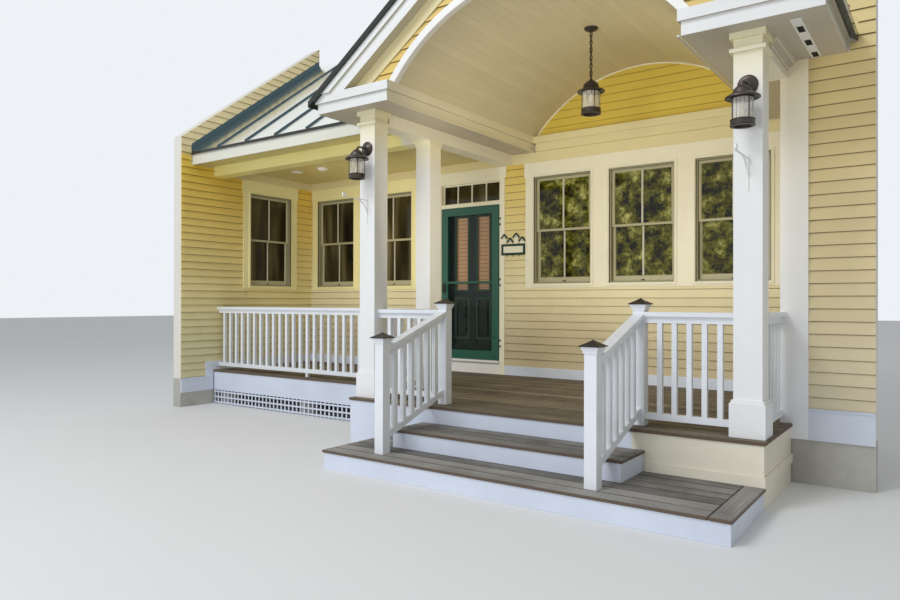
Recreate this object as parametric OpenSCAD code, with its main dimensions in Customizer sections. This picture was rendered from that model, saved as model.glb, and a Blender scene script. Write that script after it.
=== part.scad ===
// Entrance porch of a clapboard house: a gabled portico with a barrel vaulted
// ceiling, beside a lower roof over the left half of the deck.
// X runs to the right along the front, Y runs from the steps to the house,
// Z is up from the ground.

/* [House walls] */
// Clear width of the recess between the two wing walls
recess_w = 7320; // [7200:10:7600]
// Thickness of every house wall
wall_t = 160; // [140:5:200]
// How far the left wing wall is kept in front of the back wall
left_wall_out = 2350; // [2300:10:2700]
// How far the right wing stands in front of the back wall
wing_out = 1820; // [1780:2:1840]
// Width of the right wing front that is kept
wing_front_w = 630; // [520:10:900]
// How far the cut wing walls rise above the roofs beside them
wall_above_roof = 300; // [200:10:450]
// Height of the concrete foundation
foundation_h = 380; // [360:5:400]
// Thickness of flat trim boards
board_t = 22; // [18:1:26]
// Thickness of thin ceiling boards
ceiling_t = 20; // [16:1:24]
// Height of the base board along the walls on the deck
base_h = 120; // [90:5:140]
// Width of the corner board of the right wing
corner_board_w = 180; // [150:5:210]
// Lowest edge of the right wing's skirt board above the ground
right_skirt_z = 346; // [330:2:370]
// Height of the right wing's skirt board
right_skirt_h = 247; // [200:1:260]
// Lowest edge of the left wing's skirt board above the ground
left_skirt_z = 190; // [150:5:230]
// Height of the left wing's skirt board
left_skirt_h = 195; // [190:5:220]

/* [Windows and door] */
// Width of each window opening
window_w = 775; // [740:5:800]
// Height of each window opening
window_h = 1353; // [1250:1:1400]
// Height of the window and door heads above the deck
head_h = 2535; // [2500:5:2560]
// Left edge of the pair of windows beside the left wing
pair_x = 178; // [170:2:220]
// Space between the two windows of the pair
pair_gap = 357; // [300:1:380]
// Left edge of the group of three windows
group_x = 4076; // [4060:2:4100]
// Space between neighbouring windows of the group
group_gap = 236; // [220:2:250]
// Distance from the back wall to the window in the left wing wall
side_window_y = 444; // [420:2:480]
// Width of the casings beside the windows
casing_w = 122; // [100:2:130]
// Height of the casing below the windows
casing_low = 50; // [40:2:70]
// Height of the head boards over the windows and the door
head_board_h = 185; // [170:5:200]
// How far the head boards run past the casings
head_ear = 20; // [10:1:30]
// Width of the sash rails and stiles
sash_w = 45; // [38:1:55]
// Thickness of each sash
sash_t = 34; // [30:1:38]
// Left edge of the door opening
door_x = 2616; // [2600:2:2640]
// Width of the door opening
door_w = 940; // [900:5:950]
// How far the door's head lies above the window heads
door_head_up = 45; // [0:5:50]
// Height of the door opening below the transom
door_h = 2060; // [2040:5:2110]
// Height of the door sill above the deck
sill_h = 178; // [140:2:190]
// Height of the bar between the doors and the transom
transom_bar = 48; // [40:1:60]
// Width of the casings beside the door
door_casing_w = 84; // [70:2:100]
// Thickness of the storm door
storm_t = 35; // [30:1:40]
// Width of the storm door's stiles
storm_stile = 105; // [90:1:120]
// Height of the storm door's middle bar above the deck
storm_bar_h = 1200; // [1100:10:1300]
// Thickness of the entry door
entry_t = 44; // [38:1:50]
// Width of each tall light in the entry door
entry_light_w = 230; // [200:5:260]
// Height of the lower edge of those lights above the deck
entry_light_low = 1120; // [1050:10:1180]
// Width of the bar between those lights
entry_mullion = 120; // [100:5:150]
// Clearance round each moving door
door_clear = 6; // [5:0.5:8]
// Thickness of the jambs
jamb_t = 22; // [18:1:26]
// Radius of the hinge barrels
hinge_r = 6; // [5:0.5:7]
// Thickness of the glass
glass_t = 6; // [4:1:8]

/* [Deck and steps] */
// Height of the deck above the ground
deck_z = 465; // [450:3:480]
// How far the left part of the deck stands in front of the back wall
deck_left_out = 1850; // [1820:5:1900]
// How far the deck under the portico stands in front of the back wall
deck_out = 2810; // [2780:5:2900]
// How far the deck runs past the posts at its sides
deck_margin = 43; // [35:1:60]
// Thickness of the deck boards
deck_t = 25; // [20:1:34]
// Height of the joists under the deck
joist_h = 184; // [140:2:200]
// Thickness of the joists
joist_t = 38; // [35:1:45]
// Diameter of the piers under the deck
pier_d = 220; // [180:5:260]
// How far boards and treads stand out over the boards below
nosing = 12; // [8:1:24]
// Depth of each step
step_go = 435; // [400:5:460]
// Thickness of the treads
tread_t = 22; // [18:1:34]
// Width of the upper step
upper_step_w = 2096; // [2040:4:2240]
// How far the lower step starts to the right of the deck's left edge
lower_step_x = 520; // [450:5:600]
// Height of the skirt board over the lattice
skirt_h = 250; // [220:5:280]
// Distance between the bars of the lattice
lattice_pitch = 72; // [60:1:90]

/* [Posts and rails] */
// Width of the square posts
post_w = 194; // [180:2:210]
// Distance between the centres of the two front posts
post_span = 3578; // [3540:2:3600]
// Distance from the back wall to the centre of the front posts
post_y = 2603; // [2580:1:2620]
// Distance from the back wall to the centre of the rear post
rear_post_y = 1700; // [1680:5:1720]
// Height of the plinth round each post
plinth_h = 240; // [200:5:280]
// How far plinths and capitals stand out from the post
plinth_out = 24; // [15:1:32]
// Height of the capital on each front post
capital_h = 139; // [120:1:160]
// Width of the newels
newel_w = 90; // [80:1:100]
// Distance between the newels across the stair
newel_span = 1880; // [1800:10:1960]
// Height of each newel with its cap
newel_h = 980; // [960:5:1020]
// How much taller the newels on the lower tread are
low_newel_extra = 25; // [0:5:40]
// Width of the newel caps
newel_cap_w = 150; // [140:2:170]
// Height of the rails above the deck
rail_h = 874; // [830:2:890]
// Width of the rail caps
rail_w = 88; // [76:2:90]
// Thickness of the rail caps
rail_cap_t = 34; // [28:1:40]
// Height of the boards under the caps and of the bottom rails
sub_rail_h = 50; // [44:1:60]
// Thickness of those boards
sub_rail_w = 42; // [40:1:50]
// Gap between the deck and the bottom rails
rail_gap = 50; // [40:1:70]
// Width of the square balusters
baluster_w = 38; // [34:1:40]
// Largest distance between baluster centres
baluster_pitch = 130; // [120:1:140]

/* [Portico] */
// Centre of the portico from the left wing wall
portico_x = 5460; // [5440:5:5480]
// How far the stair's centre lies to the right of the portico's centre
stair_shift = 40; // [0:5:60]
// Height of the beams over the posts
beam_t = 130; // [115:5:140]
// Height of the cornice boxes
cornice_h = 185; // [175:5:210]
// Height of the crown along the top of each cornice box
crown_h = 85; // [70:1:100]
// How far the crown stands out
crown_out = 22; // [14:1:30]
// Distance from the portico's centre to the inner faces of the cornices
vault_half = 1357; // [1320:1:1400]
// Distance from the portico's centre to the outer faces of the cornices
cornice_half = 2320; // [2290:5:2340]
// Distance from the back wall to the front of the cornices
cornice_out = 2904; // [2890:2:2940]
// Radius of the barrel vault
vault_r = 1720; // [1690:5:1740]
// Distance from the back wall to the yellow gable wall
gable_out = 2780; // [2760:5:2800]
// Thickness of the gable wall
gable_t = 40; // [30:1:60]
// Width of the white trim round the arch
arch_trim_w = 70; // [60:1:80]
// Upright depth of the fascia boards along the rakes
rake_h = 207; // [180:1:230]
// Upright depth of the frieze boards under the rakes
rake_frieze_h = 363; // [340:1:370]

/* [Roofs] */
// Pitch of the gable roof in degrees
gable_pitch = 35.15; // [34.8:0.05:36]
// Distance from the centre to the gable roof's eaves
gable_eave_half = 2376; // [2360:2:2400]
// How far the gable roof's eaves lie below the tops of the cornices
gable_eave_drop = 55; // [48:1:60]
// How far the gable roof reaches in front of the cornices
gable_front = 46; // [30:1:60]
// Pitch of the lower roof in degrees
main_pitch = 37; // [36.5:0.1:38]
// Distance from the back wall to the fascia of the lower roof
main_out = 2180; // [2170:2:2200]
// How far the lower roof reaches in front of its fascia
main_front = 20; // [15:1:30]
// How far the lower roof's edge lies below the tops of the cornices
main_eave_drop = 45; // [40:1:50]
// Height of the fascia of the lower roof
main_fascia_h = 148; // [135:1:160]
// Front of the beam under the lower roof, from the back wall
main_beam_y = 1838; // [1820:2:1860]
// Height of that beam
main_beam_t = 135; // [120:5:150]
// Thickness of the gable roof, measured upright
roof_t = 60; // [50:1:64]
// Thickness of the lower roof, measured upright
main_roof_t = 36; // [30:1:50]
// Height of the standing seams
seam_h = 26; // [20:1:32]
// Thickness of the standing seams
seam_t = 16; // [10:1:20]
// Distance between the standing seams
seam_pitch = 556; // [500:1:600]
// Height of the flashing on the wing walls
flashing_h = 110; // [80:5:140]
// Thickness of the flashing
flashing_t = 8; // [5:1:12]

/* [Lights and fittings] */
// Height of the wall lanterns' backplates above the deck
lantern_h = 2470; // [2400:10:2500]
// Diameter of the lantern backplates
backplate_d = 140; // [120:2:160]
// Distance from the post to the middle of its lantern
lantern_out = 150; // [135:5:170]
// Diameter of the wall lanterns' hoods
hood_d = 232; // [220:2:250]
// Diameter of the wall lanterns' glass
lantern_glass_d = 146; // [140:2:160]
// Height of the wall lanterns' glass
lantern_glass_h = 142; // [130:2:160]
// Distance from the back wall to the pendant lantern
pendant_y = 1360; // [1200:10:1600]
// Length of the pendant lantern's chain
chain_len = 470; // [380:5:520]
// Diameter of the pendant lantern's hood
pendant_hood_d = 274; // [250:2:300]
// Diameter of the pendant lantern's glass
pendant_glass_d = 180; // [170:2:190]
// Height of the pendant lantern's glass
pendant_glass_h = 165; // [150:5:190]
// Height of the scroll brackets above the deck
bracket_h = 1960; // [1900:10:2000]
// Height of the bell push above the deck
bell_low = 1415; // [1350:5:1450]
// Distance from the left wing to the recessed light in the ceiling
first_light_x = 660; // [600:10:700]
// Distance from there to the domed light
light_step = 520; // [450:10:600]
// Distance from the back wall to both lights
light_y = 900; // [800:10:1000]
// Length of the scroll brackets
bracket_len = 330; // [280:5:360]
// Width of the number plaque
plaque_w = 355; // [340:5:370]
// Height of the number plaque
plaque_h = 145; // [130:5:160]
// Height of the plaque's lower edge above the deck
plaque_low = 1558; // [1500:2:1600]

/* [Hidden] */

$fn = 64;

// Colours
siding = "#D9C483";
trim = "#EFEDE6";
ceiling_paint = "#CFC8AE";
concrete = "#A9A9A4";
wood = "#8B7D6C";
sash_paint = "#A39C84";
roof_metal = "#33505C";
dark_metal = "#3B342D";
storm_green = "#2E5B4B";
entry_green = "#14241E";
glass_tint = "#7E94A3";

// Heights above the ground
rise = deck_z / 3;
head_z = deck_z + head_h;
window_z = head_z - window_h;
sill_z = deck_z + sill_h;
door_top = sill_z + door_h;
rail_z = deck_z + rail_h;
beam_z = head_z + head_board_h;
soffit_z = beam_z + beam_t;
cornice_z = soffit_z + cornice_h;
crown_z = cornice_z - crown_h;
ceiling_z = soffit_z - ceiling_t;
main_beam_z = ceiling_z - main_beam_t;
deck_under_z = deck_z - deck_t;
door_head_z = head_z + door_head_up;
wall_split_z = door_head_z + 20;

// Places along X
group_end = group_x + 3 * window_w + 2 * group_gap;
door_end = door_x + door_w;
post_left_x = portico_x - post_span / 2;
post_right_x = portico_x + post_span / 2;
deck_x0 = post_left_x - post_w / 2 - deck_margin;
deck_x1 = post_right_x + post_w / 2 + deck_margin;
skirt_x0 = deck_x0 + nosing;
skirt_x1 = deck_x1 - nosing;
stair_x = portico_x + stair_shift;
newel_xs = [stair_x - newel_span / 2, stair_x + newel_span / 2];
wing_end_x = recess_w + wing_front_w;
lower_step_x0 = deck_x0 + lower_step_x;

// Places along Y
wing_face_y = -wing_out - board_t;
upper_front_y = -deck_out - step_go;
lower_front_y = -deck_out - 2 * step_go;
newel_inset = 105;
newel_top_y = -post_y;
newel_foot_y = lower_front_y + newel_inset + newel_w;
side_window_x = -side_window_y - window_w;
frame_centre_x = (wing_end_x - wall_t) / 2;
frame_centre_y = (lower_front_y + wall_t) / 2;

// Roof planes: heights of the top surfaces, and the valley between them
gable_slope = tan(gable_pitch);
main_slope = tan(main_pitch);
gable_eave_z = cornice_z - gable_eave_drop;
main_eave_z = cornice_z - main_eave_drop;
ridge_z = gable_eave_z + gable_eave_half * gable_slope;
gable_front_y = -cornice_out - gable_front;
main_front_y = -main_out - main_front;
function gable_top(dx) = ridge_z - abs(dx) * gable_slope;
function main_top(y) = main_eave_z + (y + main_out) * main_slope;
function valley_y(dx) = (gable_top(dx) - main_eave_z) / main_slope - main_out;
vault_centre_z = cornice_z - sqrt(vault_r * vault_r - vault_half * vault_half);
vault_top_z = vault_centre_z + vault_r;
right_wall_top = gable_top(recess_w - portico_x) + wall_above_roof;

// Left edges of the windows in the back wall
pair_windows = [pair_x, pair_x + window_w + pair_gap];
group_windows = [for (i = [0:2]) group_x + i * (window_w + group_gap)];
back_windows = concat(pair_windows, group_windows);

// A box between two corners, each axis given as its low and high value
module block(x, y, z) {
    translate([x[0], y[0], z[0]])
        cube([x[1] - x[0], y[1] - y[0], z[1] - z[0]]);
}

// An outline drawn in X and Z, with its thickness along Y
module upright(y) {
    translate([0, y[1], 0])
        rotate([90, 0, 0])
            linear_extrude(y[1] - y[0])
                children();
}

// An outline drawn in Y and Z, with its thickness along X
module sideways(x) {
    translate([x[0], 0, 0])
        rotate([90, 0, 90])
            linear_extrude(x[1] - x[0])
                children();
}

// Puts what is drawn for the back wall on the left wing wall: X becomes Y
module on_left_wall() {
    rotate([0, 0, 90])
        children();
}

// Moves the house frame to the middle of the part's footprint
module placed() {
    translate([-frame_centre_x, -frame_centre_y, 0])
        children();
}

module foundation() {
    color(concrete) {
        block([-wall_t, recess_w + wall_t], [0, wall_t], [0, foundation_h]);
        block([-wall_t, 0], [-left_wall_out, wall_t], [0, foundation_h]);
        block([recess_w, recess_w + wall_t], [-wing_out, wall_t], [0, foundation_h]);
        block([recess_w, wing_end_x], [-wing_out, wall_t - wing_out], [0, foundation_h]);
    }
}

// Cuts window openings through a wall, at the left edges listed
module window_holes(lefts) {
    for (x = lefts)
        block([x, x + window_w], [-board_t - 1, wall_t + 1], [window_z, head_z]);
}

module back_wall_left() {
    color(siding)
        difference() {
            block([0, door_x - jamb_t], [0, wall_t], [foundation_h, wall_split_z]);
            window_holes(pair_windows);
        }
}

module back_wall_right() {
    color(siding)
        difference() {
            block([door_end + jamb_t, recess_w], [0, wall_t], [foundation_h, wall_split_z]);
            window_holes(group_windows);
        }
}

// Wall over the windows and the door, up to the underside of the roof
module back_wall_top() {
    color(siding) {
        difference() {
            sideways([0, recess_w])
                polygon([
                    [0, wall_split_z], [wall_t, wall_split_z],
                    [wall_t, main_top(wall_t) - main_roof_t], [0, main_top(0) - main_roof_t]
                ]);
            gable_roof_space([-1, wall_t + 1]);
        }
        block([door_x - jamb_t, door_end + jamb_t], [0, wall_t], [door_head_z, wall_split_z]);
    }
}

// Left wing wall, cut off parallel to the lower roof
module left_wall() {
    color(siding)
        difference() {
            sideways([-wall_t, 0])
                polygon([
                    [-left_wall_out, foundation_h], [wall_t, foundation_h],
                    [wall_t, main_top(wall_t) + wall_above_roof],
                    [-left_wall_out, main_top(-left_wall_out) + wall_above_roof]
                ]);
            on_left_wall()
                window_holes([side_window_x]);
        }
}

// Right wing wall beside the deck, cut off parallel to the lower roof
module right_return_wall() {
    front_y = wall_t - wing_out;
    color(siding)
        sideways([recess_w, recess_w + wall_t])
            polygon([
                [front_y, foundation_h], [wall_t, foundation_h],
                [wall_t, main_top(wall_t) + wall_above_roof],
                [front_y, main_top(front_y) + wall_above_roof]
            ]);
}

module right_front_wall() {
    color(siding)
        block([recess_w, wing_end_x], [-wing_out, wall_t - wing_out], [foundation_h, right_wall_top]);
}

// Flat casing round one window, as drawn on the back wall
module casing_frame(x) {
    block([x - casing_w, x + window_w + casing_w], [-board_t, 0], [window_z - casing_low, head_z]);
}

// Head board from x0 to x1, reaching from the window heads to the frieze
module head_board(x0, x1, top_z) {
    block([x0 - casing_w - head_ear, x1 + casing_w + head_ear], [-board_t, 0], [head_z, top_z]);
}

module window_casings() {
    color(trim) {
        difference() {
            union() {
                for (x = pair_windows)
                    casing_frame(x);
                head_board(pair_windows[0], pair_windows[1] + window_w, beam_z);
            }
            window_holes(pair_windows);
        }
        difference() {
            union() {
                block([group_x - casing_w, group_end + casing_w], [-board_t, 0],
                    [window_z - casing_low, head_z]);
                head_board(group_x, group_end, beam_z);
            }
            window_holes(group_windows);
        }
        on_left_wall()
            difference() {
                union() {
                    casing_frame(side_window_x);
                    head_board(side_window_x, side_window_x + window_w, beam_z);
                }
                window_holes([side_window_x]);
            }
    }
}

// Boards between the head boards and the ceilings, and the band between the cornices
module frieze_boards() {
    beam_left = post_left_x - post_w / 2;
    beam_right = post_left_x + post_w / 2;
    band_x = [portico_x - vault_half, portico_x + vault_half];
    frieze_t = board_t + 8;
    band_t = board_t + 45;
    color(trim) {
        block([0, beam_left], [-frieze_t, 0], [beam_z, ceiling_z]);
        block([0, frieze_t], [-main_beam_y + post_w, -frieze_t], [beam_z, ceiling_z]);
        block([beam_right, recess_w], [-frieze_t, 0], [beam_z, soffit_z]);
        block([recess_w - board_t, recess_w], [-wing_out, -board_t], [beam_z, soffit_z]);
        block([band_x[0] + crown_out, band_x[1] - crown_out], [-band_t, 0], [soffit_z, crown_z]);
        block(band_x, [-band_t - crown_out, 0], [crown_z, cornice_z]);
    }
}

// Skirt boards outside the wing walls, and the base boards along the deck
module wall_skirts() {
    color(trim) {
        block([0, board_t], [-left_wall_out, -deck_left_out],
            [left_skirt_z, left_skirt_z + left_skirt_h]);
        block([0, board_t], [-deck_left_out - base_h, -deck_left_out],
            [left_skirt_z + left_skirt_h, deck_z + base_h]);
        block([0, board_t], [-deck_left_out, 0], [deck_z, deck_z + base_h]);
        block([recess_w + corner_board_w, wing_end_x], [wing_face_y, -wing_out],
            [right_skirt_z, right_skirt_z + right_skirt_h]);
        block([board_t, door_x - door_casing_w], [-board_t, 0], [deck_z, deck_z + base_h]);
        block([door_end + door_casing_w, recess_w - board_t], [-board_t, 0], [deck_z, deck_z + base_h]);
        block([recess_w - board_t, recess_w], [-wing_out + corner_board_w - board_t, 0],
            [deck_z, deck_z + base_h]);
    }
}

// Corner board of the right wing, with its return along the recess
module corner_board() {
    color(trim) {
        block([recess_w, recess_w + corner_board_w], [wing_face_y, -wing_out], [right_skirt_z, soffit_z]);
        block([recess_w - board_t, recess_w], [wing_face_y, -wing_out], [deck_z, soffit_z]);
        block([recess_w - board_t, recess_w], [-wing_out, -wing_out + corner_board_w - board_t],
            [deck_z, beam_z]);
    }
}

// Depths of the two sashes behind the wall's face
upper_sash_y = [38, 38 + sash_t];
lower_sash_y = [upper_sash_y[1], upper_sash_y[1] + sash_t];
frame_edge = 26;
meeting_z = (window_z + head_z) / 2;

// Clear space of a sash, between the stiles and the rails
function sash_space_x(x) = [x + frame_edge + sash_w, x + window_w - frame_edge - sash_w];
upper_space_z = [meeting_z + sash_w / 2, head_z - frame_edge - sash_w];
lower_space_z = [window_z + frame_edge + sash_w * 1.5, meeting_z - sash_w / 2];

// One sliding sash window: its frame, the upper sash outside and the lower inside
module window_frame(x) {
    inside_x = [x + frame_edge, x + window_w - frame_edge];
    difference() {
        block([x, x + window_w], [0, wall_t], [window_z, head_z]);
        block(inside_x, [-1, wall_t + 1], [window_z + frame_edge, head_z - frame_edge]);
    }
    difference() {
        block(inside_x, upper_sash_y, [meeting_z - sash_w / 2, head_z - frame_edge]);
        block(sash_space_x(x), [0, wall_t], upper_space_z);
    }
    difference() {
        block(inside_x, lower_sash_y, [window_z + frame_edge, meeting_z + sash_w / 2]);
        block(sash_space_x(x), [0, wall_t], lower_space_z);
    }
}

// Middle of a sash's thickness, as the low and high side of its glass
function pane_y(sash_y) = let (m = (sash_y[0] + sash_y[1]) / 2) [m - glass_t / 2, m + glass_t / 2];

module window_panes(x) {
    block(sash_space_x(x), pane_y(upper_sash_y), upper_space_z);
    block(sash_space_x(x), pane_y(lower_sash_y), lower_space_z);
}

module window_frames() {
    color(sash_paint) {
        for (x = back_windows)
            window_frame(x);
        on_left_wall()
            window_frame(side_window_x);
    }
}

// Transom: four lights over the door
transom_edge = 16;
transom_lights = 4;
transom_bead = 14;
transom_z = [door_top + transom_bar + transom_edge, door_head_z - jamb_t - transom_edge];
transom_y = [40, 75];
transom_light_w = (door_w - 2 * transom_edge - (transom_lights - 1) * transom_bead) / transom_lights;
function transom_x(i) = door_x + transom_edge + i * (transom_light_w + transom_bead);

module window_glass() {
    color(glass_tint) {
        for (x = back_windows)
            window_panes(x);
        on_left_wall()
            window_panes(side_window_x);
        for (i = [0:transom_lights - 1])
            block([transom_x(i), transom_x(i) + transom_light_w], pane_y(transom_y), transom_z);
    }
}

// Doors: depths in the wall, the space that each leaf fills, and its hinges
leaf_x = [door_x + door_clear, door_end - door_clear];
leaf_z = [sill_z + door_clear, door_top - door_clear];
storm_y = [-board_t, -board_t + storm_t];
entry_y = [70, 70 + entry_t];
hinge_inset = 5;
hinge_stand = hinge_r + 1;
hinge_x = leaf_x[1] - hinge_inset;
storm_hinge_y = storm_y[0] - hinge_stand;
entry_hinge_y = entry_y[1] + hinge_stand;
barrel_h = 50;
knuckle_h = 26;
knuckle_gap = 0.2;
hinge_low_z = leaf_z[0] + 200;
hinge_step = (leaf_z[1] - leaf_z[0] - 400 - barrel_h) / 2;
hinge_zs = [for (i = [0:2]) hinge_low_z + i * hinge_step];
stop_w = 12;
reveal = 10;

// Fixed knuckles above and below each barrel; the strap runs to the casing or the jamb
module hinge_knuckles(y, strap_x, strap_y) {
    for (z = hinge_zs)
        for (low = [z - knuckle_gap - knuckle_h, z + barrel_h + knuckle_gap]) {
            translate([hinge_x, y, low])
                cylinder(r = hinge_r, h = knuckle_h);
            block([hinge_x, strap_x], [y - hinge_r / 2, y + hinge_r / 2], [low, low + knuckle_h]);
            block([door_end, strap_x], strap_y, [low, low + knuckle_h]);
        }
}

module door_frame() {
    color(trim) {
        hinge_knuckles(storm_hinge_y, door_end + reveal + 20, [storm_hinge_y - hinge_r / 2, -board_t / 2]);
        hinge_knuckles(entry_hinge_y, door_end + 1, [entry_hinge_y - hinge_r / 2, entry_hinge_y]);
        for (x = [door_x - jamb_t, door_end])
            block([x, x + jamb_t], [-board_t / 2, wall_t], [sill_z, door_head_z]);
        block([door_x, door_end], [-board_t / 2, wall_t], [door_head_z - jamb_t, door_head_z]);
        block([door_x, door_end], [-board_t / 2, wall_t], [door_top, door_top + transom_bar]);
        for (x = [door_x - door_casing_w, door_end + reveal])
            block([x, x + door_casing_w - reveal], [-board_t, 0], [deck_z, door_head_z]);
        block([door_x - door_casing_w - head_ear, door_end + door_casing_w + head_ear],
            [-board_t, 0], [door_head_z, beam_z]);
        for (x = [door_x, door_end - stop_w])
            block([x, x + stop_w], [entry_y[0] - door_clear - stop_w, entry_y[0] - door_clear],
                [sill_z, door_top]);
        difference() {
            block([door_x, door_end], transom_y, [door_top + transom_bar, door_head_z - jamb_t]);
            for (i = [0:transom_lights - 1])
                block([transom_x(i), transom_x(i) + transom_light_w], [0, wall_t], transom_z);
        }
    }
}

module door_sill() {
    nose = 28;
    sill_x = [door_x - jamb_t, door_end + jamb_t];
    color(trim) {
        block([sill_x[0], sill_x[1]], [0, wall_t], [deck_z, sill_z]);
        block([door_x - reveal, door_end + reveal], [-board_t, 0], [deck_z, sill_z]);
        block([door_x - reveal, door_end + reveal], [-board_t - nose, -board_t], [sill_z - nose, sill_z]);
    }
}

// Hinge barrels along the axis of a door, each joined to the leaf's face
module hinge_barrels(y, face_y) {
    for (z = hinge_zs) {
        translate([hinge_x, y, z])
            cylinder(r = hinge_r, h = barrel_h);
        block([hinge_x - hinge_r / 2, hinge_x + hinge_r / 2], [min(y, face_y), max(y, face_y)],
            [z, z + barrel_h]);
    }
}

storm_bar_t = 28;
storm_space_x = [leaf_x[0] + storm_stile, leaf_x[1] - storm_stile];
storm_bar_z = deck_z + storm_bar_h;
storm_spaces_z = [
    [leaf_z[0] + storm_stile * 1.1, storm_bar_z],
    [storm_bar_z + storm_bar_t, leaf_z[1] - storm_stile]
];

module storm_door() {
    color(storm_green) {
        difference() {
            block(leaf_x, storm_y, leaf_z);
            for (z = storm_spaces_z)
                block(storm_space_x, [storm_y[0] - 1, storm_y[1] + 1], z);
        }
        hinge_barrels(storm_hinge_y, storm_y[0]);
    }
}

module storm_door_glass() {
    color(glass_tint)
        for (z = storm_spaces_z)
            block(storm_space_x, pane_y(storm_y), z);
}

// Latch handle on the free stile of the storm door
module storm_door_handle() {
    x = leaf_x[0] + storm_stile / 2;
    z = storm_bar_z - 60;
    plate_h = 150;
    color(dark_metal) {
        block([x - 16, x + 16], [storm_y[0] - 5, storm_y[0]], [z - plate_h / 2, z + plate_h / 2]);
        for (dz = [-40, 40])
            translate([x, storm_y[0] - 5, z + dz])
                rotate([90, 0, 0])
                    cylinder(r = 6, h = 32);
        translate([x, storm_y[0] - 37, z - 55])
            cylinder(r = 8, h = 110);
    }
}

entry_edge = (leaf_x[1] - leaf_x[0] - 2 * entry_light_w - entry_mullion) / 2;
entry_top_rail = 130;
entry_lock_z = deck_z + entry_light_low;
entry_lock_rail = 130;
entry_low_rail = 200;
panel_sink = 10;
entry_light_z = [entry_lock_z, leaf_z[1] - entry_top_rail];
entry_panel_z = [leaf_z[0] + entry_low_rail, entry_lock_z - entry_lock_rail];
function entry_light_x(i) =
    let (x = leaf_x[0] + entry_edge + i * (entry_light_w + entry_mullion)) [x, x + entry_light_w];

module entry_door() {
    color(entry_green) {
        difference() {
            block(leaf_x, entry_y, leaf_z);
            for (i = [0:1]) {
                block(entry_light_x(i), [entry_y[0] - 1, entry_y[1] + 1], entry_light_z);
                block(entry_light_x(i), [entry_y[0] - 1, entry_y[0] + panel_sink], entry_panel_z);
                block(entry_light_x(i), [entry_y[1] - panel_sink, entry_y[1] + 1], entry_panel_z);
            }
        }
        hinge_barrels(entry_hinge_y, entry_y[1]);
    }
}

module entry_door_glass() {
    color(glass_tint)
        for (i = [0:1])
            block(entry_light_x(i), pane_y(entry_y), entry_light_z);
}

// Round knobs on both faces of the entry door
module entry_door_knob() {
    knob_r = 26;
    stand = 44;
    spots = [[entry_y[0], 90], [entry_y[1], -90]];
    color(dark_metal)
        for (spot = spots)
            translate([leaf_x[0] + 70, spot[0], entry_lock_z - entry_lock_rail / 2])
                rotate([spot[1], 0, 0])
                    rotate_extrude()
                        polygon([
                            [0, 0], [30, 0], [30, 5], [11, 9], [11, 20],
                            [knob_r - 4, 24], [knob_r, 31], [knob_r - 4, 39], [12, stand], [0, stand]
                        ]);
}

module deck_left() {
    color(wood)
        block([0, deck_x0], [-deck_left_out, 0], [deck_under_z, deck_z]);
}

module deck_portico() {
    color(wood) {
        block([deck_x0, recess_w], [wing_face_y, 0], [deck_under_z, deck_z]);
        block([deck_x0, deck_x1], [-deck_out, wing_face_y], [deck_under_z, deck_z]);
    }
}

// Rim boards and joists that carry the deck boards
joist_z = [deck_under_z - joist_h, deck_under_z];
frame_left_y = -deck_left_out + nosing + board_t;
frame_front_y = -deck_out + nosing + board_t;
frame_x0 = skirt_x0 + board_t;
frame_x1 = recess_w - board_t;
frame_x2 = skirt_x1 - board_t;

module joists(x0, x1, y0) {
    bays = ceil((x1 - x0 - joist_t) / 400);
    pitch = (x1 - x0 - joist_t) / bays;
    for (i = [0:bays])
        block([x0 + i * pitch, x0 + i * pitch + joist_t], [y0, 0], joist_z);
    block([x0, x1], [y0, y0 + joist_t], joist_z);
    block([x0, x1], [-joist_t, 0], joist_z);
}

module deck_frame() {
    color(wood) {
        joists(board_t, frame_x0, frame_left_y);
        joists(frame_x0, frame_x1, frame_front_y);
        block([frame_x1, frame_x2], [frame_front_y, frame_front_y + joist_t], joist_z);
        block([frame_x2 - joist_t, frame_x2], [frame_front_y, wing_face_y], joist_z);
    }
}

// Concrete piers under the outer rims of the deck
module deck_piers() {
    left_y = frame_left_y + pier_d / 2;
    front_y = frame_front_y + pier_d / 2;
    spots = [
        [pier_d, left_y], [frame_x0 / 2, left_y],
        [frame_x0 + pier_d, front_y], [(frame_x0 + frame_x1) / 2, front_y], [frame_x1 - pier_d, front_y]
    ];
    color(concrete)
        for (spot = spots)
            translate([spot[0], spot[1], 0])
                cylinder(d = pier_d, h = joist_z[0]);
}

// Skirt boards round the deck, folded round its outer corners
module deck_skirts() {
    left_y = -deck_left_out + nosing;
    front_y = -deck_out + nosing;
    low_z = deck_under_z - skirt_h;
    color(trim) {
        block([board_t, skirt_x0 + board_t], [left_y, left_y + board_t], [low_z, deck_under_z]);
        block([skirt_x0, skirt_x0 + board_t], [front_y, left_y + board_t], [0, deck_under_z]);
        block([skirt_x0, skirt_x1], [front_y, front_y + board_t], [0, deck_under_z]);
        block([skirt_x1 - board_t, skirt_x1], [front_y, wing_face_y], [0, deck_under_z]);
    }
}

// Square lattice that closes the space under the left part of the deck
module lattice() {
    bar = 20;
    bar_t = 8;
    low_z = 12;
    top_z = deck_under_z - skirt_h;
    face_y = -deck_left_out + nosing;
    rows = floor((top_z - low_z - bar) / lattice_pitch);
    columns = floor((skirt_x0 - board_t - bar) / lattice_pitch);
    color(trim) {
        for (i = [0:columns])
            block([board_t + i * lattice_pitch, board_t + i * lattice_pitch + bar],
                [face_y + bar_t, face_y + 2 * bar_t], [0, top_z]);
        for (j = [0:rows])
            block([board_t, skirt_x0], [face_y, face_y + bar_t],
                [low_z + j * lattice_pitch, low_z + j * lattice_pitch + bar]);
    }
}

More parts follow.
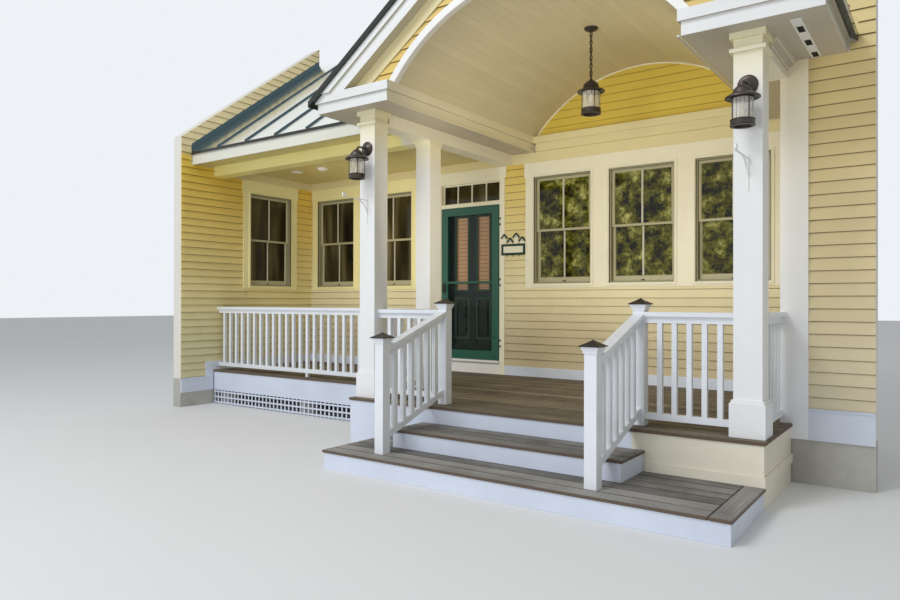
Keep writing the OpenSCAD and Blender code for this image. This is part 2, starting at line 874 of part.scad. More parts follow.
upper_step_xs = [stair_x - upper_step_w / 2, stair_x + upper_step_w / 2];
skirt_face_y = -deck_out + nosing;

module tread_upper() {
    color(wood)
        block(upper_step_xs, [upper_front_y, skirt_face_y], [2 * rise - tread_t, 2 * rise]);
}

module tread_lower() {
    color(wood)
        block([lower_step_x0, deck_x1], [lower_front_y, skirt_face_y], [rise - tread_t, rise]);
}

// Riser boards round a step and the bearers inside it
module step_frame(x, front_y, z) {
    bearers = 3;
    inside = [x[0] + board_t, x[1] - board_t];
    pitch = (inside[1] - inside[0] - joist_t) / (bearers - 1);
    block(x, [front_y, front_y + board_t], z);
    for (side = [x[0], x[1] - board_t])
        block([side, side + board_t], [front_y, skirt_face_y], z);
    for (i = [0:bearers - 1])
        block([inside[0] + i * pitch, inside[0] + i * pitch + joist_t],
            [front_y + board_t, skirt_face_y], z);
}

module step_frames() {
    color(trim) {
        step_frame([lower_step_x0 + nosing, skirt_x1], lower_front_y + nosing, [0, rise - tread_t]);
        step_frame([upper_step_xs[0] + nosing, upper_step_xs[1] - nosing], upper_front_y + nosing,
            [rise, 2 * rise - tread_t]);
    }
}

// A square prism centred on a point
module square_post(x, y, w, z) {
    block([x - w / 2, x + w / 2], [y - w / 2, y + w / 2], z);
}

// Heights of the two bands of a capital, and how far the rear post's band stands out
astragal_h = 27;
abacus_h = 44;
band_out = 10;

// A cased post: shaft, plinth with its cap, and a capital where it is wanted
module cased_post(x, y, top_z, capital) {
    lip = 20;
    square_post(x, y, post_w, [deck_z, top_z]);
    square_post(x, y, post_w + 2 * plinth_out, [deck_z, deck_z + plinth_h]);
    square_post(x, y, post_w + 2 * plinth_out - lip, [deck_z + plinth_h, deck_z + plinth_h + lip]);
    if (capital) {
        square_post(x, y, post_w + 2 * plinth_out, [top_z - capital_h, top_z - capital_h + astragal_h]);
        square_post(x, y, post_w + 2 * plinth_out, [top_z - abacus_h, top_z]);
    } else {
        square_post(x, y, post_w + 2 * band_out, [top_z - 3 * lip, top_z]);
    }
}

module posts() {
    color(trim) {
        cased_post(post_left_x, -post_y, soffit_z, true);
        cased_post(post_right_x, -post_y, soffit_z, true);
        cased_post(post_left_x, -rear_post_y, beam_z, false);
    }
}

// Feet of the four newels, two on the deck and two on the lower tread, with their heights
newel_feet = [
    for (x = newel_xs) [x, newel_top_y, deck_z, newel_h],
    for (x = newel_xs) [x, newel_foot_y, rise, newel_h + low_newel_extra]
];
cap_h = 48;
neck_h = 42;
neck_w = newel_cap_w - 28;

module newels() {
    color(trim)
        for (foot = newel_feet) {
            top_z = foot[2] + foot[3] - cap_h;
            square_post(foot[0], foot[1], newel_w, [foot[2], top_z]);
            square_post(foot[0], foot[1], neck_w, [top_z - neck_h / 2, top_z]);
            square_post(foot[0], foot[1], (neck_w + newel_w) / 2, [top_z - neck_h, top_z]);
        }
}

// Low pyramids of dark metal on the newels
module newel_caps() {
    lip = 8;
    foot_w = newel_cap_w - 6;
    color(dark_metal)
        for (foot = newel_feet) {
            base_z = foot[2] + foot[3] - cap_h;
            square_post(foot[0], foot[1], newel_cap_w, [base_z, base_z + lip]);
            translate([foot[0], foot[1], base_z + lip])
                rotate([0, 0, 45])
                    cylinder(r1 = foot_w / sqrt(2), r2 = 4, h = cap_h - lip, $fn = 4);
        }
}

// A level rail along X from 0 to len; its bottom rail stops at the plinths
module level_rail(len, start = plinth_out, end = plinth_out) {
    bays = ceil(len / baluster_pitch);
    cap_z = [rail_z - rail_cap_t, rail_z];
    sub_z = [cap_z[0] - sub_rail_h, cap_z[0]];
    low_z = [deck_z + rail_gap, deck_z + rail_gap + sub_rail_h];
    block([0, len], [-rail_w / 2, rail_w / 2], cap_z);
    block([0, len], [-sub_rail_w / 2, sub_rail_w / 2], sub_z);
    block([start, len - end], [-sub_rail_w / 2, sub_rail_w / 2], low_z);
    for (i = [1:bays - 1])
        square_post(i * len / bays, 0, baluster_w, [low_z[1], sub_z[0]]);
}

// The rail between the left wing wall and the rear post, on a small block
module rail_left() {
    len = post_left_x - post_w / 2;
    color(trim)
        translate([0, -rear_post_y - 35, 0]) {
            level_rail(len, start = board_t);
            square_post(len / 2, 0, baluster_w, [deck_z, deck_z + rail_gap]);
        }
}

module rail_front() {
    left_end = post_left_x + post_w / 2;
    right_end = newel_xs[1] + newel_w / 2;
    color(trim) {
        translate([left_end, -post_y, 0])
            level_rail(newel_xs[0] - newel_w / 2 - left_end, end = 0);
        translate([right_end, -post_y, 0])
            level_rail(post_right_x - post_w / 2 - right_end, start = 0);
    }
}

module rail_sides() {
    front_y = -post_y + post_w / 2;
    color(trim) {
        translate([post_left_x, front_y, 0])
            rotate([0, 0, 90])
                level_rail(-rear_post_y - post_w / 2 - front_y);
        translate([recess_w - board_t, front_y, 0])
            rotate([0, 0, 90])
                level_rail(wing_face_y - front_y, end = 0);
    }
}

// A rail that follows the steps between two newels, centred on x, clear of their noses
module stair_rail(x) {
    tread_clear = 50;
    y0 = newel_foot_y + newel_w / 2;
    y1 = newel_top_y - newel_w / 2;
    slope = 2 * rise / (newel_top_y - newel_foot_y);
    bays = ceil((y1 - y0) / baluster_pitch);
    function line_z(y, drop) = rail_z - drop + (y - newel_top_y) * slope;
    module band(w, drop, h) {
        sideways([x - w / 2, x + w / 2])
            polygon([
                [y0, line_z(y0, drop + h)], [y1, line_z(y1, drop + h)],
                [y1, line_z(y1, drop)], [y0, line_z(y0, drop)]
            ]);
    }
    low_drop = rail_h - rail_gap - sub_rail_h - tread_clear;
    band(rail_w, 0, rail_cap_t);
    band(sub_rail_w, rail_cap_t, sub_rail_h);
    band(sub_rail_w, low_drop, sub_rail_h);
    for (i = [1:bays - 1]) {
        y = y0 + i * (y1 - y0) / bays;
        square_post(x, y, baluster_w,
            [line_z(y, low_drop + sub_rail_h / 2), line_z(y, rail_cap_t + sub_rail_h / 2)]);
    }
}

module stair_rails() {
    color(trim)
        for (x = newel_xs)
            stair_rail(x);
}

module beams() {
    half = post_w / 2;
    back_y = -post_y + half + plinth_out;
    main_end = post_left_x - half;
    main_y = [-main_beam_y, -main_beam_y + post_w];
    color(trim) {
        block([post_left_x - half, post_left_x + half], [back_y, 0], [beam_z, soffit_z]);
        block([post_right_x - half, post_right_x + half], [back_y, wing_face_y], [beam_z, soffit_z]);
        block([0, main_end - band_out], main_y, [main_beam_z, beam_z]);
        block([0, main_end], main_y, [beam_z, ceiling_z]);
    }
}

// Empties the space above the underside of the gable roof
module above_gable(y) {
    reach = 3000;
    upright(y)
        polygon([
            [portico_x - reach, gable_top(reach) - roof_t],
            [portico_x, ridge_z - roof_t],
            [portico_x + reach, gable_top(reach) - roof_t],
            [portico_x + reach, ridge_z + roof_t],
            [portico_x - reach, ridge_z + roof_t]
        ]);
}

// A cornice box between x[0] and x[1], with its crown standing out all round
module cornice_box(x, y) {
    block([x[0] + crown_out, x[1] - crown_out], [y[0] + crown_out, y[1]], [soffit_z, crown_z]);
    block(x, y, [crown_z, cornice_z]);
}

module cornice_left() {
    color(trim)
        difference() {
            cornice_box([portico_x - cornice_half, portico_x - vault_half], [-cornice_out, 0]);
            above_gable([-cornice_out - 1, 1]);
        }
}

module cornice_right() {
    inner_x = portico_x + vault_half;
    color(trim)
        difference() {
            union() {
                cornice_box([inner_x, portico_x + cornice_half], [-cornice_out, -wing_out]);
                block([inner_x + crown_out, recess_w], [-wing_out, 0], [soffit_z, crown_z]);
                block([inner_x, recess_w], [-wing_out, 0], [crown_z, cornice_z]);
            }
            above_gable([-cornice_out - 1, 1]);
        }
}

// What lies above the cornices, inside the circle of the given radius
module vault_disc(r) {
    intersection() {
        translate([portico_x, vault_centre_z])
            circle(r = r, $fn = 180);
        translate([portico_x - r, cornice_z])
            square([2 * r, 2 * r]);
    }
}

// Yellow gable wall with its arched opening
module gable_front() {
    foot = (ridge_z - roof_t - cornice_z) / gable_slope;
    color(siding)
        upright([-gable_out, -gable_out + gable_t])
            difference() {
                polygon([
                    [portico_x - foot, cornice_z], [portico_x + foot, cornice_z],
                    [portico_x, ridge_z - roof_t]
                ]);
                vault_disc(vault_r);
            }
}

module arch_trim() {
    color(trim)
        upright([-gable_out - board_t, -gable_out])
            difference() {
                vault_disc(vault_r + arch_trim_w);
                vault_disc(vault_r);
            }
}

// Band of boards parallel to both rakes, between two depths below the roof
module rake_band(high, low, y) {
    reach = (ridge_z - roof_t - high - cornice_z) / gable_slope;
    inner = (ridge_z - roof_t - low - cornice_z) / gable_slope;
    peak = ridge_z - roof_t;
    upright(y)
        polygon([
            [portico_x - reach, cornice_z], [portico_x, peak - high], [portico_x + reach, cornice_z],
            [portico_x + inner, cornice_z], [portico_x, peak - low], [portico_x - inner, cornice_z]
        ]);
}

// Rake fascia with its crown, the soffit behind it and the frieze on the gable wall
module rake_boards() {
    rake_crown_h = 76;
    face_y = -cornice_out;
    inner_y = -cornice_out + board_t;
    wall_face_y = -gable_out - board_t;
    color(trim) {
        rake_band(0, rake_h, [face_y, inner_y]);
        rake_band(0, rake_crown_h, [face_y - crown_out, face_y]);
        rake_band(rake_h - ceiling_t, rake_h, [inner_y, wall_face_y]);
        rake_band(0, rake_frieze_h, [wall_face_y, -gable_out]);
    }
}

// Barrel vault of thin boards, from the gable wall to the back wall
module vault_ceiling() {
    color(ceiling_paint)
        upright([-gable_out + gable_t, 0])
            difference() {
                vault_disc(vault_r + ceiling_t);
                vault_disc(vault_r);
            }
}

// Flat ceiling and soffit of the lower roof
module left_ceiling() {
    z = [ceiling_z, ceiling_z + ceiling_t];
    color(ceiling_paint) {
        block([0, portico_x - cornice_half + crown_out], [-main_out + board_t, -main_beam_y], z);
        block([0, post_left_x - post_w / 2], [-main_beam_y, 0], z);
    }
}

module main_fascia() {
    top_z = main_eave_z - main_roof_t;
    color(trim)
        difference() {
            block([0, portico_x - cornice_half], [-main_out, -main_out + board_t],
                [top_z - main_fascia_h, top_z]);
            gable_roof_space([-main_out - 1, -main_out + board_t + 1]);
        }
}

// Ground plan of the gable roof: from its front edge back to the valleys
gable_wing_y = -wing_out;
module gable_plan() {
    wing_dx = recess_w - portico_x;
    polygon([
        [portico_x - gable_eave_half, gable_front_y],
        [portico_x + gable_eave_half, gable_front_y],
        [portico_x + gable_eave_half, gable_wing_y],
        [recess_w, gable_wing_y],
        [recess_w, valley_y(wing_dx)],
        [portico_x, valley_y(0)],
        [portico_x - gable_eave_half, valley_y(gable_eave_half)]
    ]);
}

// The space above the underside of the gable roof, inside its plan
module gable_roof_space(y) {
    intersection() {
        above_gable(y);
        linear_extrude(2 * ridge_z)
            gable_plan();
    }
}

// Outline of a roof sheet in its own section, from a to b, between two heights
function sheet_outline(a, b, za, zb, low, high) =
    [[a, za + low], [b, zb + low], [b, zb + high], [a, za + high]];

// One slope of the gable roof with its standing seams; side is -1 left, 1 right
module gable_slope_sheet(side) {
    eave_x = portico_x + side * gable_eave_half;
    eave_z = gable_top(gable_eave_half);
    seams = floor((-gable_front_y + valley_y(0)) / seam_pitch);
    intersection() {
        union() {
            upright([gable_front_y, wall_t])
                polygon(sheet_outline(eave_x, portico_x, eave_z, ridge_z, -roof_t, 0));
            for (i = [0:seams])
                translate([0, gable_front_y + 2 * seam_t + i * seam_pitch, 0])
                    upright([0, seam_t])
                        polygon(sheet_outline(eave_x, portico_x, eave_z, ridge_z, -1, seam_h));
        }
        linear_extrude(2 * ridge_z)
            gable_plan();
    }
}

module gable_roof_left() {
    color(roof_metal)
        gable_slope_sheet(-1);
}

module gable_roof_right() {
    color(roof_metal)
        gable_slope_sheet(1);
}

// The lower roof between x[0] and x[1], outside the gable roof's plan
module main_sheet(x) {
    back_z = main_top(wall_t);
    front_z = main_top(main_front_y);
    first = ceil(x[0] / seam_pitch);
    last = floor((x[1] - seam_t) / seam_pitch);
    difference() {
        union() {
            sideways(x)
                polygon(sheet_outline(main_front_y, wall_t, front_z, back_z, -main_roof_t, 0));
            for (i = [first:last])
                translate([i * seam_pitch + seam_t, 0, 0])
                    sideways([0, seam_t])
                        polygon(sheet_outline(main_front_y, wall_t, front_z, back_z, -1, seam_h));
        }
        linear_extrude(2 * ridge_z)
            gable_plan();
    }
}

module main_roof_left() {
    color(roof_metal)
        main_sheet([0, portico_x]);
}

module main_roof_right() {
    color(roof_metal)
        difference() {
            main_sheet([portico_x, recess_w]);
            block([portico_x, recess_w + 1], [main_front_y - 1, valley_y(recess_w - portico_x)],
                [0, 2 * ridge_z]);
        }
}

// Flashing where the roofs meet the wing walls, and the cap along the ridge
module roof_flashing() {
    cap_half = 110;
    ridge_back_y = valley_y(cap_half);
    side_y = [main_front_y, wall_t];
    color(roof_metal) {
        sideways([0, flashing_t])
            polygon(sheet_outline(side_y[0], side_y[1], main_top(side_y[0]), main_top(side_y[1]),
                0, flashing_h));
        upright([gable_front_y, ridge_back_y])
            polygon([
                [portico_x - cap_half, gable_top(cap_half) + seam_h],
                [portico_x, ridge_z + seam_h],
                [portico_x + cap_half, gable_top(cap_half) + seam_h],
                [portico_x + cap_half, gable_top(cap_half) + seam_h + flashing_t],
                [portico_x, ridge_z + seam_h + flashing_t],
                [portico_x - cap_half, gable_top(cap_half) + seam_h + flashing_t]
            ]);
        upright([-wing_out - flashing_t, -wing_out])
            polygon(sheet_outline(recess_w, portico_x + gable_eave_half,
                gable_top(recess_w - portico_x), gable_eave_z, 0, flashing_h));
    }
}

// Hood, cage, lamp socket and ring foot of a lantern that hangs with its brim at height 0
lantern_rim = 7;
function lantern_hood_h(glass_d) = glass_d * 0.72;
function lantern_foot_h(glass_h) = glass_h * 0.33;

module lantern_cage(brim_d, glass_d, glass_h) {
    brim_r = brim_d / 2;
    glass_r = glass_d / 2;
    hood_h = lantern_hood_h(glass_d);
    foot_h = lantern_foot_h(glass_h);
    rod_r = 3.5;
    seat = 6;
    ledge = 14;
    socket_r = 13;
    rotate_extrude()
        polygon([
            [0, 0], [glass_r + 2, 0], [glass_r + 2, 8], [brim_r - 8, 0], [brim_r, 3],
            [brim_r - 2, 12], [glass_r + 12, 30], [glass_r * 0.95, 34], [glass_r * 0.8, hood_h * 0.62],
            [glass_r * 0.5, hood_h * 0.82], [glass_r * 0.26, hood_h * 0.9], [16, hood_h], [0, hood_h]
        ]);
    translate([0, 0, -glass_h - foot_h])
        rotate_extrude()
            polygon([
                [glass_r - ledge, 0], [glass_r + lantern_rim, 0], [glass_r + lantern_rim + 3, 4],
                [glass_r + lantern_rim, 8], [glass_r + lantern_rim, foot_h - 8],
                [glass_r + lantern_rim + 3, foot_h - 4], [glass_r + lantern_rim, foot_h],
                [glass_r, foot_h], [glass_r, foot_h - seat], [glass_r - ledge, foot_h - seat]
            ]);
    translate([0, 0, -glass_h / 2])
        cylinder(r = socket_r, h = glass_h / 2 + 1);
    for (a = [45:90:315])
        rotate([0, 0, a])
            translate([glass_r + rod_r, 0, -glass_h - seat])
                cylinder(r = rod_r, h = glass_h + 2 * seat);
}

hood_drop = 130;

// Lanterns on the front faces of the two front posts, each on a curved arm
module wall_lanterns() {
    $fn = 40;
    arm_r = 9;
    bend_r = 40;
    plate_r = backplate_d / 2;
    hood_top = lantern_hood_h(lantern_glass_d) - hood_drop;
    color(dark_metal)
        for (x = [post_left_x, post_right_x])
            translate([x, -post_y - post_w / 2, deck_z + lantern_h]) {
                rotate([90, 0, 0])
                    rotate_extrude()
                        polygon([
                            [0, 0], [plate_r, 0], [plate_r, 8], [plate_r - 10, 14],
                            [plate_r - 26, 18], [22, 28], [0, 28]
                        ]);
                rotate([90, 0, 0])
                    cylinder(r = arm_r, h = lantern_out - bend_r);
                translate([0, bend_r - lantern_out, -bend_r])
                    rotate([90, 0, -90])
                        rotate_extrude(angle = 90)
                            translate([bend_r, 0])
                                circle(r = arm_r);
                translate([0, -lantern_out, hood_top])
                    cylinder(r = arm_r, h = -bend_r - hood_top);
                translate([0, -lantern_out, -hood_drop])
                    lantern_cage(hood_d, lantern_glass_d, lantern_glass_h);
            }
}

canopy_r = 70;
canopy_h = 45;
canopy_z = vault_centre_z + sqrt(vault_r * vault_r - canopy_r * canopy_r) - 0.3;
pendant_top_z = canopy_z - canopy_h - chain_len;
pendant_brim_z = pendant_top_z - lantern_hood_h(pendant_glass_d);

// Chain links in turn along and across, each one caught in the next
module chain(len) {
    wire = 3.5;
    link_r = 14;
    count = round(len / (2 * link_r - wire));
    pitch = (len - 2 * link_r) / (count - 1);
    for (i = [0:count - 1])
        translate([0, 0, -link_r - i * pitch])
            rotate([90, 0, 90 * (i % 2)])
                rotate_extrude($fn = 32)
                    translate([link_r - wire, 0])
                        circle(r = wire, $fn = 16);
}

module pendant_lantern() {
    sink = 4;
    color(dark_metal)
        translate([portico_x, -pendant_y, 0]) {
            translate([0, 0, canopy_z - canopy_h])
                rotate_extrude()
                    polygon([
                        [0, 0], [12, 0], [20, 10], [canopy_r - 12, 24],
                        [canopy_r, 38], [canopy_r, canopy_h], [0, canopy_h]
                    ]);
            translate([0, 0, canopy_z - canopy_h + sink])
                chain(chain_len + 2 * sink);
            translate([0, 0, pendant_brim_z])
                lantern_cage(pendant_hood_d, pendant_glass_d, pendant_glass_h);
        }
}

// A thin glass tube that stands on the lantern's foot
module glass_tube(d, h) {
    wall = 4;
    rim_gap = 0.3;
    translate([0, 0, -h - 6])
        difference() {
            cylinder(r = d / 2 - rim_gap, h = h + 6);
            translate([0, 0, -1])
                cylinder(r = d / 2 - rim_gap - wall, h = h + 8);
        }
}

module lantern_glass() {
    color(glass_tint) {
        for (x = [post_left_x, post_right_x])
            translate([x, -post_y - post_w / 2 - lantern_out, deck_z + lantern_h - hood_drop])
                glass_tube(lantern_glass_d, lantern_glass_h);
        translate([portico_x, -pendant_y, pendant_brim_z])
            glass_tube(pendant_glass_d, pendant_glass_h);
    }
}

// White iron brackets with scrolled braces on the two front posts
module scroll_brackets() {
    bar = 14;
    iron = 6;
    back_h = 230;
    brace_r = 170;
    top_z = deck_z + bracket_h;
    color(trim)
        for (x = [post_left_x, post_right_x])
            translate([x - bar / 2, -post_y - post_w / 2, top_z]) {
                block([0, bar], [-iron, 0], [-back_h, 24]);
                block([0, bar], [-bracket_len, 0], [-iron, 0]);
                translate([0, -brace_r, -brace_r])
                    sideways([0, bar])
                        intersection() {
                            difference() {
                                circle(r = brace_r);
                                circle(r = brace_r - iron);
                            }
                            square(brace_r);
                        }
                translate([0, -bracket_len, 18])
                    sideways([0, bar])
                        difference() {
                            circle(r = 22);
                            circle(r = 22 - iron);
                        }
            }
}

// Framed plaque with four little gables over it, and the bell push
module wall_fittings() {
    plaque_t = 10;
    peak_h = 62;
    bar = 6;
    bell_w = 24;
    bell_h = 90;
    x0 = (door_end + door_casing_w + group_x - casing_w - plaque_w) / 2 - 24;
    z0 = deck_z + plaque_low;
    peak_w = plaque_w / 4;
    bell_x = group_x - casing_w + bell_w / 2;
    bell_z = deck_z + bell_low;
    color(storm_green) {
        block([x0, x0 + plaque_w], [-board_t - plaque_t, -board_t], [z0, z0 + plaque_h]);
        for (i = [0:3])
            translate([x0 + i * peak_w, 0, z0 + plaque_h - 1])
                upright([-board_t - plaque_t, -board_t])
                    polygon([
                        [0, 0], [bar, 0], [peak_w / 2, peak_h - 1.5 * bar],
                        [peak_w - bar, 0], [peak_w, 0], [peak_w / 2, peak_h]
                    ]);
    }
    color(trim)
        block([bell_x, bell_x + bell_w], [-board_t - plaque_t, -board_t], [bell_z, bell_z + bell_h]);
}

// A recessed light and a domed one in the left ceiling
module ceiling_lights() {
    rim_t = 6;
    color(trim) {
        translate([first_light_x, -light_y, ceiling_z - rim_t])
            difference() {
                cylinder(r = 82, h = rim_t);
                translate([0, 0, -1])
                    cylinder(r = 62, h = rim_t - 1);
            }
        translate([first_light_x + light_step, -light_y, ceiling_z])
            rotate([180, 0, 0])
                rotate_extrude()
                    polygon([[0, 0], [75, 0], [75, 12], [62, 26], [36, 36], [0, 38]]);
    }
}

placed() foundation();
placed() back_wall_left();
placed() back_wall_right();
placed() back_wall_top();
placed() left_wall();
placed() right_return_wall();
placed() right_front_wall();
placed() window_casings();
placed() frieze_boards();
placed() wall_skirts();
placed() corner_board();
placed() window_frames();
placed() window_glass();
placed() door_frame();
placed() door_sill();
placed() storm_door();
placed() storm_door_glass();
placed() storm_door_handle();
placed() entry_door();
placed() entry_door_glass();
placed() entry_door_knob();
placed() deck_left();
placed() deck_portico();
placed() deck_frame();
placed() deck_piers();
placed() deck_skirts();
placed() lattice();
placed() tread_upper();
placed() tread_lower();
placed() step_frames();
placed() posts();
placed() newels();
placed() newel_caps();
placed() rail_left();
placed() rail_front();
placed() rail_sides();
placed() stair_rails();
placed() beams();
placed() cornice_left();
placed() cornice_right();
placed() gable_front();
placed() arch_trim();
placed() rake_boards();
placed() vault_ceiling();
placed() left_ceiling();
placed() main_fascia();
placed() gable_roof_left();
placed() gable_roof_right();
placed() main_roof_left();
placed() main_roof_right();
placed() roof_flashing();
placed() wall_lanterns();
placed() pendant_lantern();
placed() lantern_glass();
placed() scroll_brackets();
placed() wall_fittings();
placed() ceiling_lights();
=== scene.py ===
# %% [markdown]
# # Dressing an entrance porch
# The porch comes in as a finished frame: walls, posts, roofs and doors already have
# their real sizes. What is missing is the surface: clapboards, deck boards, paint,
# glass and metal. Every size below is in metres, in the same frame as the model.

# %% Load the frame
import math
import random
from functools import partial

import bmesh
import bpy
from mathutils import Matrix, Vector


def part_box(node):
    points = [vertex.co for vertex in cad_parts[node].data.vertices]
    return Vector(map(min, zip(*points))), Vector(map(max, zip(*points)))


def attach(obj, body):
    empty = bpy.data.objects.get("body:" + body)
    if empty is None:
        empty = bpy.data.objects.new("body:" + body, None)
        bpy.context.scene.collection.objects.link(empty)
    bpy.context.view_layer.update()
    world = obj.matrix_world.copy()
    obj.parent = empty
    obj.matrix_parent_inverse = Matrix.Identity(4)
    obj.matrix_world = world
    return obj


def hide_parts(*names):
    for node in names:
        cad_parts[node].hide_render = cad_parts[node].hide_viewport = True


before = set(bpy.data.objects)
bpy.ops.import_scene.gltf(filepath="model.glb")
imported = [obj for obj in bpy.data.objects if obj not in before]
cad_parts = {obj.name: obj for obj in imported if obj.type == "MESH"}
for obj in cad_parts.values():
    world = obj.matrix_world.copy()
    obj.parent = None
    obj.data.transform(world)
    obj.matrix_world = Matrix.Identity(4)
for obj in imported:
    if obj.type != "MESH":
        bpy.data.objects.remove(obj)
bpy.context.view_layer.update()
random.seed(7)

# %% [markdown]
# A material reads like a recipe here: one helper turns a paint chip's hex value into
# Blender's linear colour, one feeds a node, and one adds a node in a single line.
# Patterns lie in the object's own metres, so noise of scale 2 has clouds 500 mm wide.

# %% Helpers for materials
MM = 0.001
SETTING = {"Mix": "data_type", "Attribute": "attribute_name"}  # any other node's: its operation


def linear(hex_colour):
    """The linear RGBA of an sRGB hex colour."""
    parts = [int(hex_colour[i:i + 2], 16) / 255 for i in (1, 3, 5)]
    return [c / 12.92 if c <= 0.04045 else ((c + 0.055) / 1.055) ** 2.4 for c in parts] + [1.0]


def feed(node, **inputs):
    """Feeds inputs, by name or as i0, i1, ...: each gets a value, a node or one of its outputs."""
    for key, value in inputs.items():
        socket = node.inputs[int(key[1:]) if key[1:].isdigit() else key.replace("_", " ")]
        if isinstance(value, bpy.types.Node):
            value = value.outputs[0]
        if isinstance(value, bpy.types.NodeSocket):
            node.id_data.links.new(value, socket)
        elif isinstance(value, list):  # a colour may also feed a vector
            socket.default_value = value[:len(socket.default_value)]
        else:
            socket.default_value = value
    return node


def add_to(owner, kind, setting=None, stops=(), **inputs):
    """Adds a node with its one setting, a ramp's stops [(place, hex), ...] and its inputs."""
    node = owner.node_tree.nodes.new("ShaderNode" + kind)
    if setting:
        setattr(node, SETTING.get(kind, "operation"), setting)
    for place, _ in stops[1:-1]:
        node.color_ramp.elements.new(place)
    for number, (place, shade) in enumerate(stops):
        element = node.color_ramp.elements[number]
        element.position, element.color = place, linear(shade)
    return feed(node, **inputs)


def new_material(name):
    """An empty material, its shader, its own add(), and where its patterns lie."""
    material = bpy.data.materials.new(name)
    material.use_nodes = True
    add = partial(add_to, material)
    place = add("TexCoord").outputs["Object"]
    return material, material.node_tree.nodes["Principled BSDF"], add, place


print("colour test:", [round(part, 3) for part in linear("#808080")])

# %% [markdown]
# A piece is a mesh that rides on one body of the frame. Some pieces stand for a solid of
# the frame, which is then hidden. Windows, posts and newels each share one node, as
# solids that don't touch. Where a piece has to sit on one of them, its place is read
# from the frame: the corners that hang together by edges make one solid.

# %% Helpers for pieces
def placed(name, shape, material):
    """Puts a bmesh into the scene as an object of one material."""
    mesh = bpy.data.meshes.new(name)
    shape.to_mesh(mesh)
    shape.free()
    mesh.materials.append(material)
    made = bpy.data.objects.new(name, mesh)
    bpy.context.scene.collection.objects.link(made)
    return made


def piece(name, shape, material, body="house", instead_of=None):
    """Turns a bmesh into a piece that rides on a body, with its faces looking outwards."""
    bmesh.ops.recalc_face_normals(shape, faces=shape.faces)
    made = placed(name, shape, material)
    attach(made, body)
    if instead_of:
        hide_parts(instead_of)
    print(name, "faces:", len(made.data.polygons))


def solid_of(node):
    """A node's mesh as a bmesh, with its corners welded."""
    shape = bmesh.new()
    shape.from_mesh(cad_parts[node].data)
    bmesh.ops.remove_doubles(shape, verts=shape.verts, dist=0.01 * MM)
    return shape


def solids(node):
    """(low, high) corner of each separate solid in a node, from left to right."""
    shape, seen, found = solid_of(node), set(), []
    for start in shape.verts:
        if start in seen:
            continue
        seen.add(start)
        stack, group = [start], []
        while stack:
            vert = stack.pop()
            group.append(vert.co.copy())
            for other in [edge.other_vert(vert) for edge in vert.link_edges]:
                if other not in seen:
                    seen.add(other)
                    stack.append(other)
        found.append([Vector([end(p[i] for p in group) for i in range(3)]) for end in (min, max)])
    shape.free()
    return sorted(found, key=lambda pair: (round(pair[0].x, 3), pair[0].z))


windows = solids("window_frames")
print("windows:", len(windows), "panes:", len(solids("window_glass")))

# %% [markdown]
# Most of the porch is painted wood. House paint is a soft semi-gloss: rollers and
# brushes leave a faint orange peel, and the boards under it swell and shrink, so the
# tone drifts a little from board to board. One recipe makes every painted finish. The
# drift follows the board, because each separate board is an island of the mesh.

# %% Painted wood
BRUSH_MARK = 6 * MM  # brush marks are finer than this, and drawn coarse enough to show
# faces that look down can get a colour of their own, a painted shade
LOOKS_DOWN = -0.7  # a face whose normal sinks below this is an underside


def painted_wood(name, colour, roughness=0.42, drift=0.06, grime=0.10, own_tone=False,
                 beyond=None, underside_shade=None):
    """House paint of one hex colour, or of [(height, hex), ...] from the ground up.
    beyond=(axis, place, hex) is another colour past a place, and the last argument a hex for faces
    that look down: a painted shade."""
    material, shader, add, place = new_material(name)
    spot = add("SeparateXYZ", Vector=place)
    if isinstance(colour, str):
        paint = linear(colour)
    else:
        foot, top = colour[0][0], colour[-1][0]
        share = add("MapRange", Value=spot.outputs["Z"], From_Min=foot, From_Max=top)
        paint = add("ValToRGB", Fac=share, stops=[
            ((height - foot) / (top - foot), shade) for height, shade in colour])
    if beyond:
        axis, border, second = beyond
        side = add("Math", "GREATER_THAN", i0=spot.outputs[axis], i1=border)
        paint = add("Mix", "RGBA", Factor=side, i6=paint, i7=linear(second)).outputs[2]
    # faces that look down get the darker colour: a painted shade
    if underside_shade:
        facing = add("SeparateXYZ", Vector=add("NewGeometry").outputs["True Normal"])
        down = add("Math", "LESS_THAN", i0=facing.outputs["Z"], i1=LOOKS_DOWN)
        paint = add("Mix", "RGBA", Factor=down, i6=paint, i7=linear(underside_shade)).outputs[2]
    island = (add("Attribute", "tone").outputs["Fac"] if own_tone
              else add("NewGeometry").outputs["Random Per Island"])
    tone = add("Math", "MULTIPLY_ADD", i0=island, i1=drift, i2=1 - drift / 2)
    cloud = add("TexNoise", Vector=place, Scale=1.7, Detail=4.0, Roughness=0.6)
    soil = add("MapRange", Value=cloud, From_Min=0.35, From_Max=0.75, To_Min=1, To_Max=1 - grime)
    both = add("Math", "MULTIPLY", i0=tone, i1=soil)
    brush = add("TexNoise", Vector=place, Scale=1 / BRUSH_MARK, Detail=2.0)
    feed(shader, Roughness=roughness,
         Base_Color=add("VectorMath", "SCALE", i0=paint, Scale=both),
         Normal=add("Bump", Strength=0.08, Distance=0.4 * MM, Height=brush))
    return material


print("soil clouds are", round(1000 / 1.7), "mm wide")
